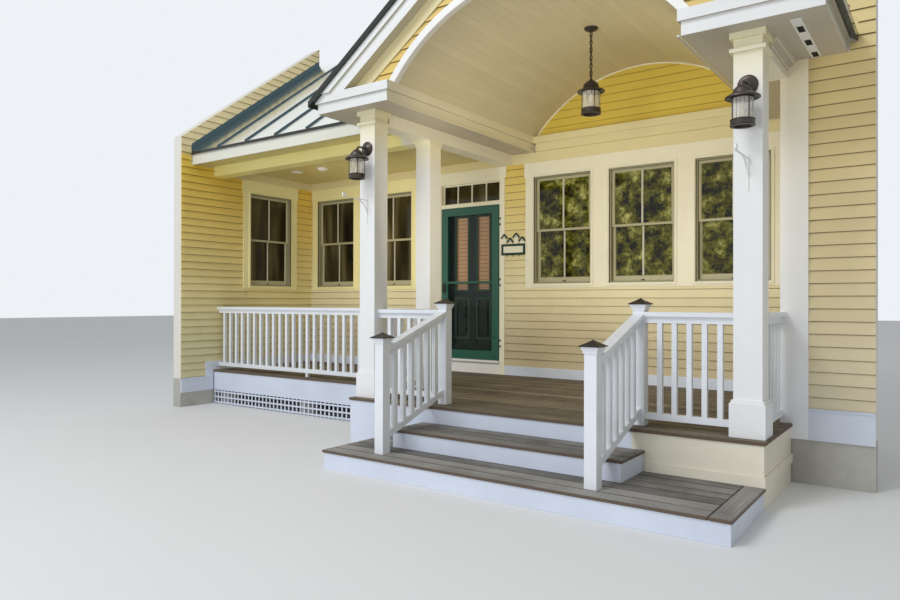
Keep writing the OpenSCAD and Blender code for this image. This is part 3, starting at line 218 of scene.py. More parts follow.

# %% [markdown]
# The big walls get their colours by height, as painted shade: the yellow is duller low
# down and golden up under the roofs, where the light that the walls and the deck throw
# back is warm. The trim is painted the same way: cream or yellow in the shade of the
# roofs, and a cold blue white low down where only the open sky lights it.

# %% House colours
CLAPBOARD = (0.5, 0.06, 0.10, True)  # roughness, drift, grime, and a tone of its own
TRIM, SKIRT = (0.4, 0.03, 0.05), (0.45, 0.03, 0.12)
CEILING, SASH_PAINT = (0.38, 0.07, 0.05), (0.4, 0.04)
LEFT_WINDOWS_X, LOW_BEAM_X, DECK_SIDE_X, RIGHT_FLASHING_X = -1.64, -0.5, 2.55, 3.0
# past this the sides of the cornices and rakes get a cream colour: painted warm light in the shade
SHADED_SIDES_Y = -1.12  # the sides of the cornices and rakes lie behind this, their fronts before
KNUCKLE_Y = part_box("door_frame")[0].y + 11.5 * MM  # the storm door's hinge knuckles lie before

# the colours by height are painted shade, golden where warm light is thrown back under the roofs
siding_paint = painted_wood("yellow_clapboard_paint_with_painted_shade_by_height", [
    (0.7, "#DDCFAE"), (1.6, "#E3D1A2"), (3.0, "#E3CC8E")], *CLAPBOARD)
porch_paint = painted_wood("yellow_porch_clapboard_paint_with_painted_shade_by_height", [
    (0.9, "#C2B48F"), (1.6, "#E8DDB2"), (3.25, "#E2C660"), (3.42, "#E3D0A0")], *CLAPBOARD)
wing_paint = painted_wood("yellow_wing_clapboard_paint_with_painted_shade_by_height", [
    (0.9, "#D9D0A2"), (1.6, "#ECDCA0"), (2.5, "#EED27A"), (3.36, "#EEC948"),
    (3.46, "#E2D0A0")], *CLAPBOARD)
# golden copies of the clapboard paint for the vault's end and the gable: painted warm shade
shaded_clapboard_paint = painted_wood("golden_clapboard_paint_as_painted_shade", "#E3C95A", 0.45, 0.035, 0.10, True)
shaded_gable_paint = painted_wood("golden_gable_clapboard_paint_as_painted_shade", "#DABC66", 0.45, 0.05, 0.10, True)
frieze_paint = painted_wood("cream_frieze_paint", "#E4D8A8", *TRIM)
# the yellower casings at the left windows, under the lower roof, are painted warm light
casing_paint = painted_wood("warm_white_casing_paint", "#F6EDB4", *TRIM,
                            beyond=("X", LEFT_WINDOWS_X, "#F0EBD2"))
door_casing_paint = painted_wood("warm_white_casing_paint_with_green_knuckles", "#245A49",
                                 *TRIM, beyond=("Y", KNUCKLE_Y, "#F0EBD2"))
# the blue cast of the skirts is painted shade, where only the open sky lights them
skirt_paint = painted_wood("white_skirt_paint_with_painted_blue_shade", "#D5DCE8", *SKIRT)
portico_skirt_paint = painted_wood("white_skirt_paint_with_painted_blue_shade_at_the_left", "#D5DCE8", *SKIRT,
                                   beyond=("X", DECK_SIDE_X, "#EAE3CE"))
# cream sides are painted warm light thrown back into the shade, tan undersides a painted shade
eaves_paint = painted_wood("white_eaves_paint_with_painted_bounce_and_shade", "#E1E1DD", *TRIM,
                           beyond=("Y", SHADED_SIDES_Y, "#EBE4C8"), underside_shade="#BDB4A4")
rake_paint = painted_wood("white_rake_paint_with_painted_warm_shade", "#E4E4E0", *TRIM,
                          beyond=("Y", SHADED_SIDES_Y, "#E0D2A2"), underside_shade="#B8B196")
# the yellow cream of the beams under the lower roof is painted warm light thrown back from the
# walls
beam_paint = painted_wood("beam_paint_with_painted_yellow_bounce_at_the_left", "#FBEFA0", *TRIM,
                          beyond=("X", LOW_BEAM_X, "#F2EDD8"))
trim_paint = painted_wood("white_trim_paint", "#ECEBE6", *TRIM)
# the corner board is bluish low down, and both it and the posts are cream at the top: painted sky
# light and painted warm light
corner_paint = painted_wood("white_corner_board_paint_with_painted_light_by_height", [
    (0.6, "#EFF1F5"), (2.4, "#F7F2E6"), (3.3, "#F8ECCB")], 0.4, 0.03, 0.04)
post_paint = painted_wood("white_post_paint_with_painted_warm_light_at_the_top", [
    (0.6, "#ECECEA"), (2.8, "#ECEBE6"), (3.1, "#F2EBCE"), (3.3, "#F2E9C2")], *TRIM)
fascia_paint = painted_wood("weathered_white_fascia_paint", "#DFDDCD", 0.4, 0.03, 0.08)
flashing_paint = painted_wood("dark_and_yellow_flashing_paint", "#35525A", 0.4, 0.0,
                              beyond=("X", RIGHT_FLASHING_X, "#E0CB92"))
ceiling_paint = painted_wood("cream_ceiling_paint", "#CDC2A2", *CEILING)
# the low ceiling is a yellower copy of the ceiling paint: painted warm shade
low_ceiling_paint = painted_wood("tan_ceiling_paint_as_painted_warm_shade", "#CFC07F", *CEILING)
sash_paint = painted_wood("putty_sash_paint", "#9C9879", *SASH_PAINT)
pale_sash_paint = painted_wood("pale_putty_sash_paint", "#BBB594", *SASH_PAINT)
muntin_paint = painted_wood("pale_muntin_paint", "#CFCBB9", *SASH_PAINT)
plaster = painted_wood("interior_plaster", "#E3DFD4", 0.8, 0.0, 0.04)
sign_paint = painted_wood("cream_sign_enamel", "#E9E3CC", 0.35, 0.0, 0.06)
print("painted finishes:", len(bpy.data.materials))

# %% [markdown]
# The rails and newels are a moulded composite: smooth, cold white and a little
# glossier than the painted wood next to them, with no brush marks. The doors are
# sprayed enamel: glossy, with a faint long waviness. The iron brackets are forged and
# painted, so their skin is livelier. The lanterns, knobs and caps are cast bronze,
# rubbed with oil: half a metal's mirror, half a dark brown skin, with a fine grit.

# %% Composite, enamel, iron and bronze
def smooth_coat(name, hex_colour, roughness, wave=3 * MM, strength=0.03, metallic=0.0):
    """A skin with no grain: wave is the width of its ripples."""
    material, shader, add, place = new_material(name)
    cloud = add("TexNoise", Vector=place, Scale=2.5, Detail=5.0, Roughness=0.65)
    shade, wear = [add("MapRange", Value=cloud, From_Min=0.3, From_Max=0.7, To_Min=low, To_Max=high)
                   for low, high in ((0.93, 1.03), (roughness * 0.85, roughness * 1.2))]
    ripple = add("TexNoise", Vector=place, Scale=1 / wave, Detail=1.0)
    feed(shader, Metallic=metallic, Roughness=wear,
         Base_Color=add("VectorMath", "SCALE", i0=linear(hex_colour), Scale=shade),
         Normal=add("Bump", Strength=strength, Distance=0.3 * MM, Height=ripple))
    return material


DOOR_WAVE, CAST_GRIT = (60 * MM, 0.02), (4 * MM, 0.15)
white_composite = smooth_coat("white_moulded_composite", "#E6E9EC", 0.32)
white_iron = smooth_coat("white_painted_iron", "#EFEFEA", 0.35, 2 * MM, 0.1)
storm_enamel = smooth_coat("green_storm_door_enamel", "#245A49", 0.3, *DOOR_WAVE)
entry_enamel = smooth_coat("dark_green_door_enamel", "#11241C", 0.3, *DOOR_WAVE)
moulding_enamel = smooth_coat("dark_green_moulding_enamel", "#2E4A3B", 0.3, *DOOR_WAVE)
frame_enamel = smooth_coat("dark_green_frame_enamel", "#16331F", 0.35)
oiled_bronze = smooth_coat("oil_rubbed_bronze", "#453D37", 0.38, *CAST_GRIT, 0.5)
cap_bronze = smooth_coat("dark_cast_cap_bronze", "#322D2C", 0.4, *CAST_GRIT, 0.4)
print("coated finishes made")

# %% [markdown]
# The roofs are rolled steel with a baked green coat. The faces that look up, the wide
# pans, get a pale mirror finish instead of the green: a painted reflection of the sky.
# The faces that look to the front, along the folded eave, are near black: a painted
# shade. The upright seams keep the green. Rolled sheet is never quite flat: it buckles
# a little between the seams.

# %% Roof sheet
# the pans' pale mirror colour is a painted sky reflection, the eaves' near black a painted shade
PAN, EAVE_SHADE, BUCKLE = "#F6F7EC", "#23241F", 180 * MM
LOOKS_UP, LOOKS_FRONT = 0.7, -0.9  # a normal's Z from here up, its Y from here down


def roof_sheet(name, edge_hex):
    """Coated steel: pans that look up get a painted sky reflection, eaves that look to the front a
    painted shade.
    """
    material, shader, add, place = new_material(name)
    facing = add("SeparateXYZ", Vector=add("NewGeometry").outputs["True Normal"])
    pan = add("Math", "GREATER_THAN", i0=facing.outputs["Z"], i1=LOOKS_UP)
    eave = add("Math", "LESS_THAN", i0=facing.outputs["Y"], i1=LOOKS_FRONT)
    edge = add("Mix", "RGBA", Factor=eave, i6=linear(edge_hex), i7=linear(EAVE_SHADE))
    cloud = add("TexNoise", Vector=place, Scale=2.0, Detail=4.0)
    wave = add("TexNoise", Vector=place, Scale=1 / BUCKLE, Detail=1.0)
    feed(shader, Metallic=pan, Roughness=add("MapRange", Value=cloud, To_Min=0.12, To_Max=0.26),
         Base_Color=add("Mix", "RGBA", Factor=pan, i6=edge.outputs[2], i7=linear(PAN)).outputs[2],
         Normal=add("Bump", Strength=0.08, Distance=1.5 * MM, Height=wave))
    return material


roof_enamel = roof_sheet("blue_green_roof_enamel", "#2F4A55")
gable_enamel = roof_sheet("dark_green_roof_enamel", "#1F2A22")
print("roof sheets made")

# %% [markdown]
# The deck was brown once. Sun and rain have washed it to a silvery brown, darker in
# the grain and along the gaps. The grain is noise stretched along the board: fine
# across it, a hundred times longer along it. Each board gets its own tone.

# %% Weathered deck wood
GRAIN, GRAIN_LENGTH = 5 * MM, 600 * MM
EDGE_STAIN = "#605041"  # rain leaves the boards' front edges brown


def weathered_wood(name, pale_hex, dark_hex, contrast, along=0):
    """Bare boards; along is the axis of the grain, contrast where dark ends and pale begins."""
    material, shader, add, place = new_material(name)
    island = add("NewGeometry").outputs["Random Per Island"]
    shift = add("CombineXYZ", X=island, Y=island, Z=island)
    moved = add("VectorMath", "MULTIPLY_ADD", i0=shift, i1=(9.0, 5.0, 3.0), i2=place)
    scaled = add("VectorMath", "MULTIPLY", i0=moved, i1=[
        1 / (GRAIN_LENGTH if axis == along else GRAIN) for axis in range(3)])
    grain = add("TexNoise", Vector=scaled, Scale=1.0, Detail=6.0, Roughness=0.62)
    stain = add("TexNoise", Vector=place, Scale=2.2, Detail=5.0, Roughness=0.6)
    blend = add("Math", "MULTIPLY_ADD", i0=stain, i1=0.55, i2=grain)
    own = add("Math", "MULTIPLY_ADD", i0=island, i1=0.24, i2=blend)
    share = add("MapRange", Value=own, From_Min=contrast[0], From_Max=contrast[1])
    ramp = add("ValToRGB", stops=[(0, dark_hex), (1, pale_hex)], Fac=share)
    facing = add("SeparateXYZ", Vector=add("NewGeometry").outputs["True Normal"])
    side = add("Math", "LESS_THAN", i0=facing.outputs["Z"], i1=0.72)
    feed(shader, Roughness=0.72, Normal=add("Bump", Strength=0.5, Distance=1.2 * MM, Height=grain),
         Base_Color=add("Mix", "RGBA", Factor=side, i6=ramp, i7=linear(EDGE_STAIN)).outputs[2])
    return material


RAIN_WASHED = ("#A5A29B", "#332F29", (0.62, 1.18))
deck_wood = weathered_wood("weathered_deck_board", "#8A7E69", "#2A231A", (0.6, 1.22))
tread_wood = weathered_wood("rain_washed_tread_board", *RAIN_WASHED)
border_wood = weathered_wood("rain_washed_border_board", *RAIN_WASHED, along=1)
print("deck wood made, grain", GRAIN / MM, "mm wide")

# %% [markdown]
# Cast concrete shows sand, small air holes and a soft mottling. Window glass in
# daylight hides the dark room behind it and mirrors what stands outside. Here the
# panes are opaque, very smooth and nearly black, a painted shade of the room; the right
# ones carry a painted reflection of greenery, and the left ones a dim curtain whose long
# upright folds are painted light and shade.

# %% Concrete and window glass
SAND = 4 * MM  # the coarsest grains, as the render can't show finer ones


def dark_window_glass(name, stretch, detail, tones):
    """Glass before a dark room, as one opaque colour: tones=[(stop, hex), ...] runs from the room's
    painted shade to what shows there.
    """
    material, shader, add, place = new_material(name)
    drawn = add("VectorMath", "MULTIPLY", i0=place, i1=stretch)
    depth = add("TexNoise", Vector=drawn, Scale=1.0, Detail=detail, Roughness=0.76)
    ripple = add("TexNoise", Vector=place, Scale=5.0, Detail=1.0)
    feed(shader, Roughness=0.04, Specular_IOR_Level=0.28,
         Base_Color=add("ValToRGB", stops=tones, Fac=depth),
         Normal=add("Bump", Strength=0.05, Distance=1.0 * MM, Height=ripple))
    return material


concrete, shader, add, place = new_material("cast_foundation_concrete")
mottle = add("TexNoise", Vector=place, Scale=3.0, Detail=8.0, Roughness=0.7)
shade = add("MapRange", Value=mottle, From_Min=0.3, From_Max=0.7, To_Min=0.78, To_Max=1.06)
sand = add("TexNoise", Vector=place, Scale=1 / SAND, Detail=3.0)
feed(shader, Roughness=0.85,
     Base_Color=add("VectorMath", "SCALE", i0=linear("#B9B6AD"), Scale=shade),
     Normal=add("Bump", Strength=0.4, Distance=1.0 * MM, Height=sand))
# dark tones are the room's painted shade; the right panes add a painted reflection of greenery
greenery_reflection_glass = dark_window_glass("window_glass_with_painted_reflection_of_greenery", (6.0, 6.0, 6.0), 9.0,
                                [(0.43, "#15150A"), (0.54, "#60601A"), (0.70, "#CDCB80")])
curtain_glass = dark_window_glass("window_glass_before_a_curtain", (4.5, 4.5, 0.6), 1.0,
                                  [(0.34, "#1D190F"), (0.52, "#3A321D"), (0.74, "#746A4B")])
print("concrete and window glass made")

# %% [markdown]
# The eye looks through three kinds of glass. The lanterns have drawn glass with upright
# streaks, milky where they gather. The storm door's panes carry a fine dark insect
# screen that takes a little light away. Behind the entry door's panes hangs a drawn
# blind, given as the glass's own colour, with the shade in its folds painted as thin
# dark lines.

# %% Lantern and door glass
BLIND_FOLD, STREAK, SCREEN_WAVE = 54 * MM, 9 * MM, 400 * MM

lantern_glass, shader, add, place = new_material("seeded_lantern_glass")
drawn = add("VectorMath", "MULTIPLY", i0=place, i1=(1.0, 1.0, 0.08))
streaks = add("TexNoise", Vector=drawn, Scale=1 / STREAK, Detail=3.0)
feed(shader, Base_Color=linear("#E6E2D2"), Roughness=0.08,
     Alpha=add("MapRange", Value=streaks, From_Min=0.4, From_Max=0.7,
               To_Min=0.12, To_Max=0.6),
     Normal=add("Bump", Strength=0.4, Distance=0.5 * MM, Height=streaks))

storm_glass, shader, add, place = new_material("screened_storm_door_glass")
dust = add("TexNoise", Vector=place, Scale=2.0, Detail=4.0)
wave = add("TexNoise", Vector=place, Scale=1 / SCREEN_WAVE, Detail=1.0)
feed(shader, Base_Color=linear("#0F1512"), Roughness=0.05,
     Alpha=add("MapRange", Value=dust, To_Min=0.06, To_Max=0.16),
     Normal=add("Bump", Strength=0.02, Distance=0.5 * MM, Height=wave))

door_glass, shader, add, place = new_material("entry_door_glass_with_blind")
sag = add("TexNoise", Vector=place, Scale=9.0, Detail=3.0)
height = add("Math", "MULTIPLY_ADD", i0=sag, i1=0.02,
             i2=add("SeparateXYZ", Vector=place).outputs["Z"])
# the dark lines at the blind's folds are painted shade
fold = add("Math", "PINGPONG", i0=height, i1=BLIND_FOLD / 2)
share = add("MapRange", Value=fold, From_Max=BLIND_FOLD / 8)
feed(shader, Roughness=0.12,
     Base_Color=add("ValToRGB", stops=[(0, "#9A744F"), (1, "#DDB083")], Fac=share),
     Normal=add("Bump", Strength=0.05, Distance=1.0 * MM, Height=sag))
print("lantern and door glass made")

# %% [markdown]
# Every solid of the frame that stays visible gets its finish now. The others, such as
# the deck's slabs, get a piece of their own further down.

# %% Put the finishes on the frame
for material, nodes in (
        (plaster, "back_wall_left back_wall_right back_wall_top left_wall right_return_wall "
                  "right_front_wall gable_front"),
        (trim_paint, "door_sill arch_trim"), (post_paint, "posts"),
        (corner_paint, "corner_board"), (rake_paint, "rake_boards"),
        (casing_paint, "window_casings"), (door_casing_paint, "door_frame"),
        (frieze_paint, "frieze_boards"), (skirt_paint, "wall_skirts lattice step_frames"),
        (portico_skirt_paint, "deck_skirts"), (beam_paint, "beams"),
        (eaves_paint, "cornice_left cornice_right"), (fascia_paint, "main_fascia"),
        (white_composite, "newels rail_left rail_front rail_sides stair_rails"),
        (door_glass, "entry_door_glass"), (storm_glass, "storm_door_glass"),
        (lantern_glass, "lantern_glass"), (concrete, "foundation deck_piers"),
        (deck_wood, "deck_frame"), (storm_enamel, "storm_door"), (entry_enamel, "entry_door"),
        (oiled_bronze, "wall_lanterns pendant_lantern storm_door_handle entry_door_knob"),
        (white_iron, "scroll_brackets ceiling_lights"),
        (roof_enamel, "main_roof_left main_roof_right"),
        (gable_enamel, "gable_roof_left gable_roof_right"), (flashing_paint, "roof_flashing")):
    for node in nodes.split():
        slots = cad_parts[node].data.materials
        slots.clear()
        slots.append(material)
    print(material.name, "on", nodes)

# %% [markdown]
# Clapboards are long tapered boards, each lapping over the one below. The thick lower
# edge stands out 17 mm and throws the thin dark line that makes the wall read as
# wood. They are real geometry here, because a bump map has no lower edge to cast a
# shadow. The last few millimetres of each board and its lower edge are painted darker
# too: a painted shadow of the lap, with a little dust in it. A wall is described by one
# question: at this height, which stretches are bare? A course that a window or a roof
# line cuts is made in slices of one taper, and a number stored on the faces gives all
# slices of a board one tone.

# %% A machine for clapboards
COURSE, BUTT, TIP = 98 * MM, 17 * MM, 3 * MM
# the tone of each board's lap strip and lower edge: a painted shadow of the lap, with a little dust
LAP, LAP_SHADOW_TONE = 6 * MM, -9.0
JOINT, JOINT_FROM_END = 1.2 * MM, 0.3
SLIVER, TINY = 3 * MM, 0.1 * MM
NUDGE, MOST_STRETCHES = 0.001, 4  # in courses, and per course
BOX_FACES = ((3, 2, 6, 7), (0, 1, 2, 3), (4, 7, 6, 5), (0, 3, 7, 4), (1, 5, 6, 2), (0, 4, 5, 1))
LOWER_EDGE = BOX_FACES[1]


def without(stretches, z, covers):
    """Takes covers (u0, u1, z0, z1) that reach height z out of the stretches."""
    for u0, u1, low, high in covers:
        if low < z < high:
            left = [(a, min(b, u0)) for a, b in stretches if a < u0]
            right = [(max(a, u1), b) for a, b in stretches if b > u1]
            stretches = sorted(left + right)
    return stretches


def clapboards(name, place, z0, z1, bare, levels, anchor, joint_range=None, paint=siding_paint):
    """place(u, out, z) gives a corner, bare(z) the bare stretches at z, anchor a board's foot."""
    shape = bmesh.new()
    tone_layer = shape.faces.layers.float.new("tone")
    first, last = (z0 - anchor) / COURSE + NUDGE, (z1 - anchor) / COURSE - NUDGE
    for course in range(math.floor(first), math.ceil(last)):
        foot, head = anchor + course * COURSE, anchor + course * COURSE + COURSE
        bottom, top = max(foot, z0), min(head, z1)
        joint = random.uniform(*joint_range) if joint_range else None
        tones = [random.random() for _ in range(2 * MOST_STRETCHES)]
        inner = [z for z in [head - LAP, *levels] if bottom + TINY < z < top - TINY]
        cuts = sorted({bottom, top, *inner})
        for low, high in zip(cuts, cuts[1:]):
            lows, highs = bare(low + TINY), bare(high - TINY)
            if len(lows) != len(highs):
                continue
            out_low, out_high = [BUTT + (TIP - BUTT) * (z - foot) / COURSE for z in (low, high)]
            for number, ((a0, a1), (b0, b1)) in enumerate(zip(lows, highs)):
                if a1 - a0 < SLIVER and b1 - b0 < SLIVER:
                    continue
                strips = [((a0, a1), (b0, b1), tones[number])]
                if joint and a0 + JOINT_FROM_END < joint < a1 - JOINT_FROM_END:
                    strips = [((a0, joint - JOINT), (b0, joint - JOINT), tones[number]),
                              ((joint, a1), (joint, b1), tones[number + MOST_STRETCHES])]
                for (c0, c1), (d0, d1), tone in strips:
                    verts = [shape.verts.new(place(*corner)) for corner in (
                        (c0, 0, low), (c1, 0, low), (c1, out_low, low), (c0, out_low, low),
                        (d0, 0, high), (d1, 0, high), (d1, out_high, high), (d0, out_high, high))]
                    for face in BOX_FACES:
                        # the lap strip and the lower edge take the painted shadow tone
                        dark = low > head - LAP - TINY or face == LOWER_EDGE
                        made = shape.faces.new([verts[i] for i in face])
                        made[tone_layer] = LAP_SHADOW_TONE if dark else tone
    piece(name, shape, paint)


def facing_front(y):
    """place(u, out, z) for a wall that faces the front: u runs along X."""
    return lambda u, out, z: (u, y - out, z)


def facing_side(x, way):
    """The same for a wall that faces right (way 1) or left (way -1): u runs along Y."""
    return lambda u, out, z: (x + way * out, u, z)


print("a board shows", COURSE / MM, "mm and stands out", BUTT / MM, "mm")

# %% [markdown]
# The covers of the back wall are all in the frame: the casings, the door's casing and
# the boards under the ceilings. So the boards keep fitting when a window moves.

# %% Clapboards on the back wall
HEAD_EAR, DOOR_HEAD_UP, BASE_BOARD = 20 * MM, 45 * MM, 120 * MM
back_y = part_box("back_wall_right")[0].y
left_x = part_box("left_wall")[1].x
right_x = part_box("right_return_wall")[0].x
base_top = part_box("deck_left")[1].z + BASE_BOARD
frieze_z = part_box("frieze_boards")[0].z
cornice_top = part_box("cornice_left")[1].z
window_head = windows[0][1].z
casings = solids("window_casings")


def head_and_sides(low, high, across, head):
    """The two covers of a casing: its sides, and its wider head board."""
    u0, u1 = low[across], high[across]
    return [(u0 + HEAD_EAR, u1 - HEAD_EAR, low.z, head), (u0, u1, head, high.z)]


def levels_of(covers):
    """The heights at which covers begin and end."""
    return [level for cover in covers for level in cover[2:]]


back_covers = head_and_sides(*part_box("door_frame"), 0, window_head + DOOR_HEAD_UP)
for low, high in casings[1:]:
    back_covers += head_and_sides(low, high, 0, window_head)
clapboards("back_wall_clapboards", facing_front(back_y), base_top, frieze_z,
           lambda z: without([(left_x, right_x)], z, back_covers), levels_of(back_covers),
           base_top, (left_x, right_x), porch_paint)

# %% [markdown]
# Under the vault the same boards fill a circle segment. Its circle is worked out from
# the vault's own width and height, so the boards end exactly at the curved ceiling.

# %% Clapboards under the vault
CEILING_T, SLICE, SLICES, END_GAP = 20 * MM, 14 * MM, 90, 4 * MM
vault_low, vault_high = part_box("vault_ceiling")
centre_x = (vault_low.x + vault_high.x) / 2
outer_half, outer_rise = (vault_high.x - vault_low.x) / 2, vault_high.z - cornice_top
outer_r = (outer_half ** 2 + outer_rise ** 2) / (2 * outer_rise)
vault_r, vault_z = outer_r - CEILING_T, vault_high.z - outer_r
fine_levels = [cornice_top + i * SLICE for i in range(SLICES)]


def half_chord(radius, z):
    """Half the width of the circle round the vault's axis at height z."""
    return math.sqrt(max(radius ** 2 - (z - vault_z) ** 2, 0.0))


clapboards("vault_end_clapboards", facing_front(back_y), cornice_top, vault_z + vault_r - END_GAP,
           lambda z: [(centre_x - half_chord(vault_r, z), centre_x + half_chord(vault_r, z))],
           fine_levels, cornice_top, paint=shaded_clapboard_paint)

# %% [markdown]
# The gable wall has an arched opening with a trim board, and a frieze along both
# slopes. Between them the boards run to a point at the bottom corners.

# %% Clapboards on the gable
ROOF_T, SEAM_H, FRIEZE_DEPTH, ARCH_TRIM, PEAK_GAP = 60 * MM, 26 * MM, 363 * MM, 70 * MM, 5 * MM
GABLE_SLOPE = math.tan(math.radians(35.15))
ridge_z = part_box("gable_roof_left")[1].z - SEAM_H
trim_r = vault_r + ARCH_TRIM
frieze_peak = ridge_z - ROOF_T - FRIEZE_DEPTH


def gable_bare(z):
    """One stretch above the arch, or one on each side of it."""
    reach, inner = (frieze_peak - z) / GABLE_SLOPE, half_chord(trim_r, z)
    if inner == 0:
        return [(centre_x - reach, centre_x + reach)]
    return [(centre_x - reach, centre_x - inner), (centre_x + inner, centre_x + reach)]


clapboards("gable_clapboards", facing_front(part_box("gable_front")[0].y), cornice_top,
           frieze_peak - PEAK_GAP, gable_bare, fine_levels + [vault_z + trim_r], cornice_top,
           paint=shaded_gable_paint)

# %% [markdown]
# The wing walls stand above the roofs next to them, where the rest of the house would
# go on. Their boards stop at the flashing and follow its slope.

# %% Clapboards on the left wing
CUT_ABOVE, FLASHING, MAIN_T = 300 * MM, 110 * MM, 36 * MM
MAIN_SLOPE = math.tan(math.radians(37))
SKIRT_TOP, CEILING_EDGE, DECK_LAP = 385 * MM, 14 * MM, 120 * MM
BEAM_Y = (-78 * MM, 116 * MM)
fascia_low, fascia_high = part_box("main_fascia")
left_front, wall_back = (corner.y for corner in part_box("left_wall"))
eave_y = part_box("main_roof_left")[0].y
ceiling_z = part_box("left_ceiling")[0].z
deck_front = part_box("deck_left")[0].y


def main_top(y):
    """Height of the lower roof's surface at y."""
    return fascia_high.z + MAIN_T + (y - fascia_low.y) * MAIN_SLOPE


def main_y(z):
    """Where the lower roof's surface reaches height z."""
    return fascia_low.y + (z - fascia_high.z - MAIN_T) / MAIN_SLOPE


left_covers = head_and_sides(*casings[0], 1, window_head) + [
    (deck_front - DECK_LAP, back_y, 0, base_top),
    (*BEAM_Y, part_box("beams")[0].z, ceiling_z), (BEAM_Y[1], back_y, frieze_z, ceiling_z),
    (eave_y, wall_back, ceiling_z - CEILING_EDGE, ceiling_z)]


def left_bare(z):
    """Below the ceiling the covers are left out, above it the lower roof."""
    if z < ceiling_z:
        return without([(left_front, back_y)], z, left_covers)
    return [(max(left_front, main_y(z - CUT_ABOVE)),
             min(wall_back, max(eave_y, main_y(z - FLASHING))))]


clapboards("left_wing_clapboards", facing_side(left_x, 1), SKIRT_TOP,
           main_top(wall_back) + CUT_ABOVE, left_bare, levels_of(left_covers) + [
               main_top(eave_y) + FLASHING, main_top(left_front) + CUT_ABOVE,
               main_top(wall_back) + FLASHING], base_top, (left_front, back_y), wing_paint)

# %% [markdown]
# The right wing has three faces: the front beside the corner board, the return that
# looks into the porch, and what stands above the lower roof. The front's boards start
# at the corner board, then at the cornice, then at the gable roof's eave.

# %% Clapboards on the right wing
WING_SKIRT_TOP = 593 * MM
corner_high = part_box("corner_board")[1]
wing_low, wing_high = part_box("right_front_wall")
cornice_low, cornice_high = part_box("cornice_right")
eave_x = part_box("gable_roof_right")[1].x
eave_z = ridge_z - (eave_x - centre_x) * GABLE_SLOPE


def wing_bare(z):
    """One stretch, from whatever stands at its left."""
    start = corner_high.x
    if z > cornice_low.z:
        start = cornice_high.x
    if z > eave_z - ROOF_T:
        start = min(eave_x, centre_x + (ridge_z + FLASHING - z) / GABLE_SLOPE)
    return [(max(start, wing_low.x), wing_high.x)]


def return_bare(z):
    """One stretch, from the front corner or the lower roof to the back."""
    if z < frieze_z:
        return [(corner_high.y, back_y)]
    start = wing_low.y if z < wing_high.z else max(main_y(z - CUT_ABOVE), wing_high.y)
    return [(start, min(wall_back, main_y(z - SEAM_H)))]


clapboards("right_wing_clapboards", facing_front(wing_low.y), WING_SKIRT_TOP, wing_high.z,
           wing_bare, [cornice_low.z, eave_z - ROOF_T, eave_z + FLASHING], base_top)
clapboards("right_return_clapboards", facing_side(right_x, -1), base_top, frieze_z,
           return_bare, [], base_top, (corner_high.y, back_y), porch_paint)
clapboards("right_upper_clapboards", facing_side(right_x, -1), wing_high.z - CUT_ABOVE + SEAM_H,
           main_top(wall_back) + CUT_ABOVE, return_bare, [
               wing_high.z, main_top(wing_high.y) + CUT_ABOVE, main_top(wall_back) + SEAM_H],
           base_top)

# %% [markdown]
# Boards in a deck or a flat ceiling are cut from the slab that stands for them in the
# model, the way a carpenter rips a sheet: across at the pitch of the boards, then at
# the butt joints. Every board gets eased edges, because a sharp edge catches no light.

# %% A saw for slabs
WANDER = 0.3  # how far a butt joint strays, as a share of a board's length
FLAT = 0.02  # faces that meet at less than this angle are one


def keep_between(shape, axis, low, high):
    """Cuts a solid off below low and above high along one axis, and closes it."""
    for place, sign in ((low, -1), (high, 1)):
        spots = [v.co[axis] for v in shape.verts]
        if not spots or not min(spots) + TINY < place < max(spots) - TINY:
            continue
        point, normal = Vector(), Vector()
        point[axis], normal[axis] = place, sign
        cut = bmesh.ops.bisect_plane(shape, geom=[*shape.verts, *shape.edges, *shape.faces],
                                     plane_co=point, plane_no=normal, clear_outer=True)
        rim = [part for part in cut["geom_cut"] if isinstance(part, bmesh.types.BMEdge)]
        bmesh.ops.holes_fill(shape, edges=rim)


def joined(shapes):
    """Puts several bmeshes into one."""
    whole, carrier = bmesh.new(), bpy.data.meshes.new("carrier")
    for shape in shapes:
        shape.to_mesh(carrier)
        shape.free()
        whole.from_mesh(carrier)
    bpy.data.meshes.remove(carrier)
    return whole


def eased(shape, edge):
    """Rounds the edges of a solid."""
    bmesh.ops.bevel(shape, geom=shape.edges[:], offset=edge, segments=2, affect="EDGES",
                    clamp_overlap=True)
    return shape


def sawn(name, node, width, gap, longest, edge, material, right_end=None):
    """Boards along X, cut from a CAD slab; right_end leaves room for a border board."""
    low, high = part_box(node)
    start_x, end_x = low.x, right_end or high.x
    count = round((high.y - low.y + gap) / width)
    pitch = (high.y - low.y + gap) / count
    parts = math.ceil((end_x - start_x) / longest)
    source, boards = solid_of(node), []
    for i in range(count):
        joints = [start_x + (j + random.uniform(-WANDER, WANDER)) * (end_x - start_x) / parts
                  for j in range(1, parts)]
        stops = [start_x, *joints, end_x]
        for start, stop in zip(stops, stops[1:]):
            board = source.copy()
            keep_between(board, 1, low.y + i * pitch, low.y + (i + 1) * pitch - gap)
            keep_between(board, 0, start + (gap / 2 if start > start_x else 0), stop)
            spots = [v.co.x for v in board.verts]
            if spots and max(spots) <= stop + TINY and min(spots) >= start - TINY:
                bmesh.ops.dissolve_limit(board, angle_limit=FLAT, verts=board.verts,
                                         edges=board.edges)
                boards.append(eased(board, edge))
            else:
                board.free()
    source.free()
    piece(name, joined(boards), material, instead_of=node)


# %% [markdown]
# Deck boards are 135 mm wide with 5 mm gaps, and the ceiling's are narrow and tight.
# The lower tread ends at the right in one border board that runs across the others.

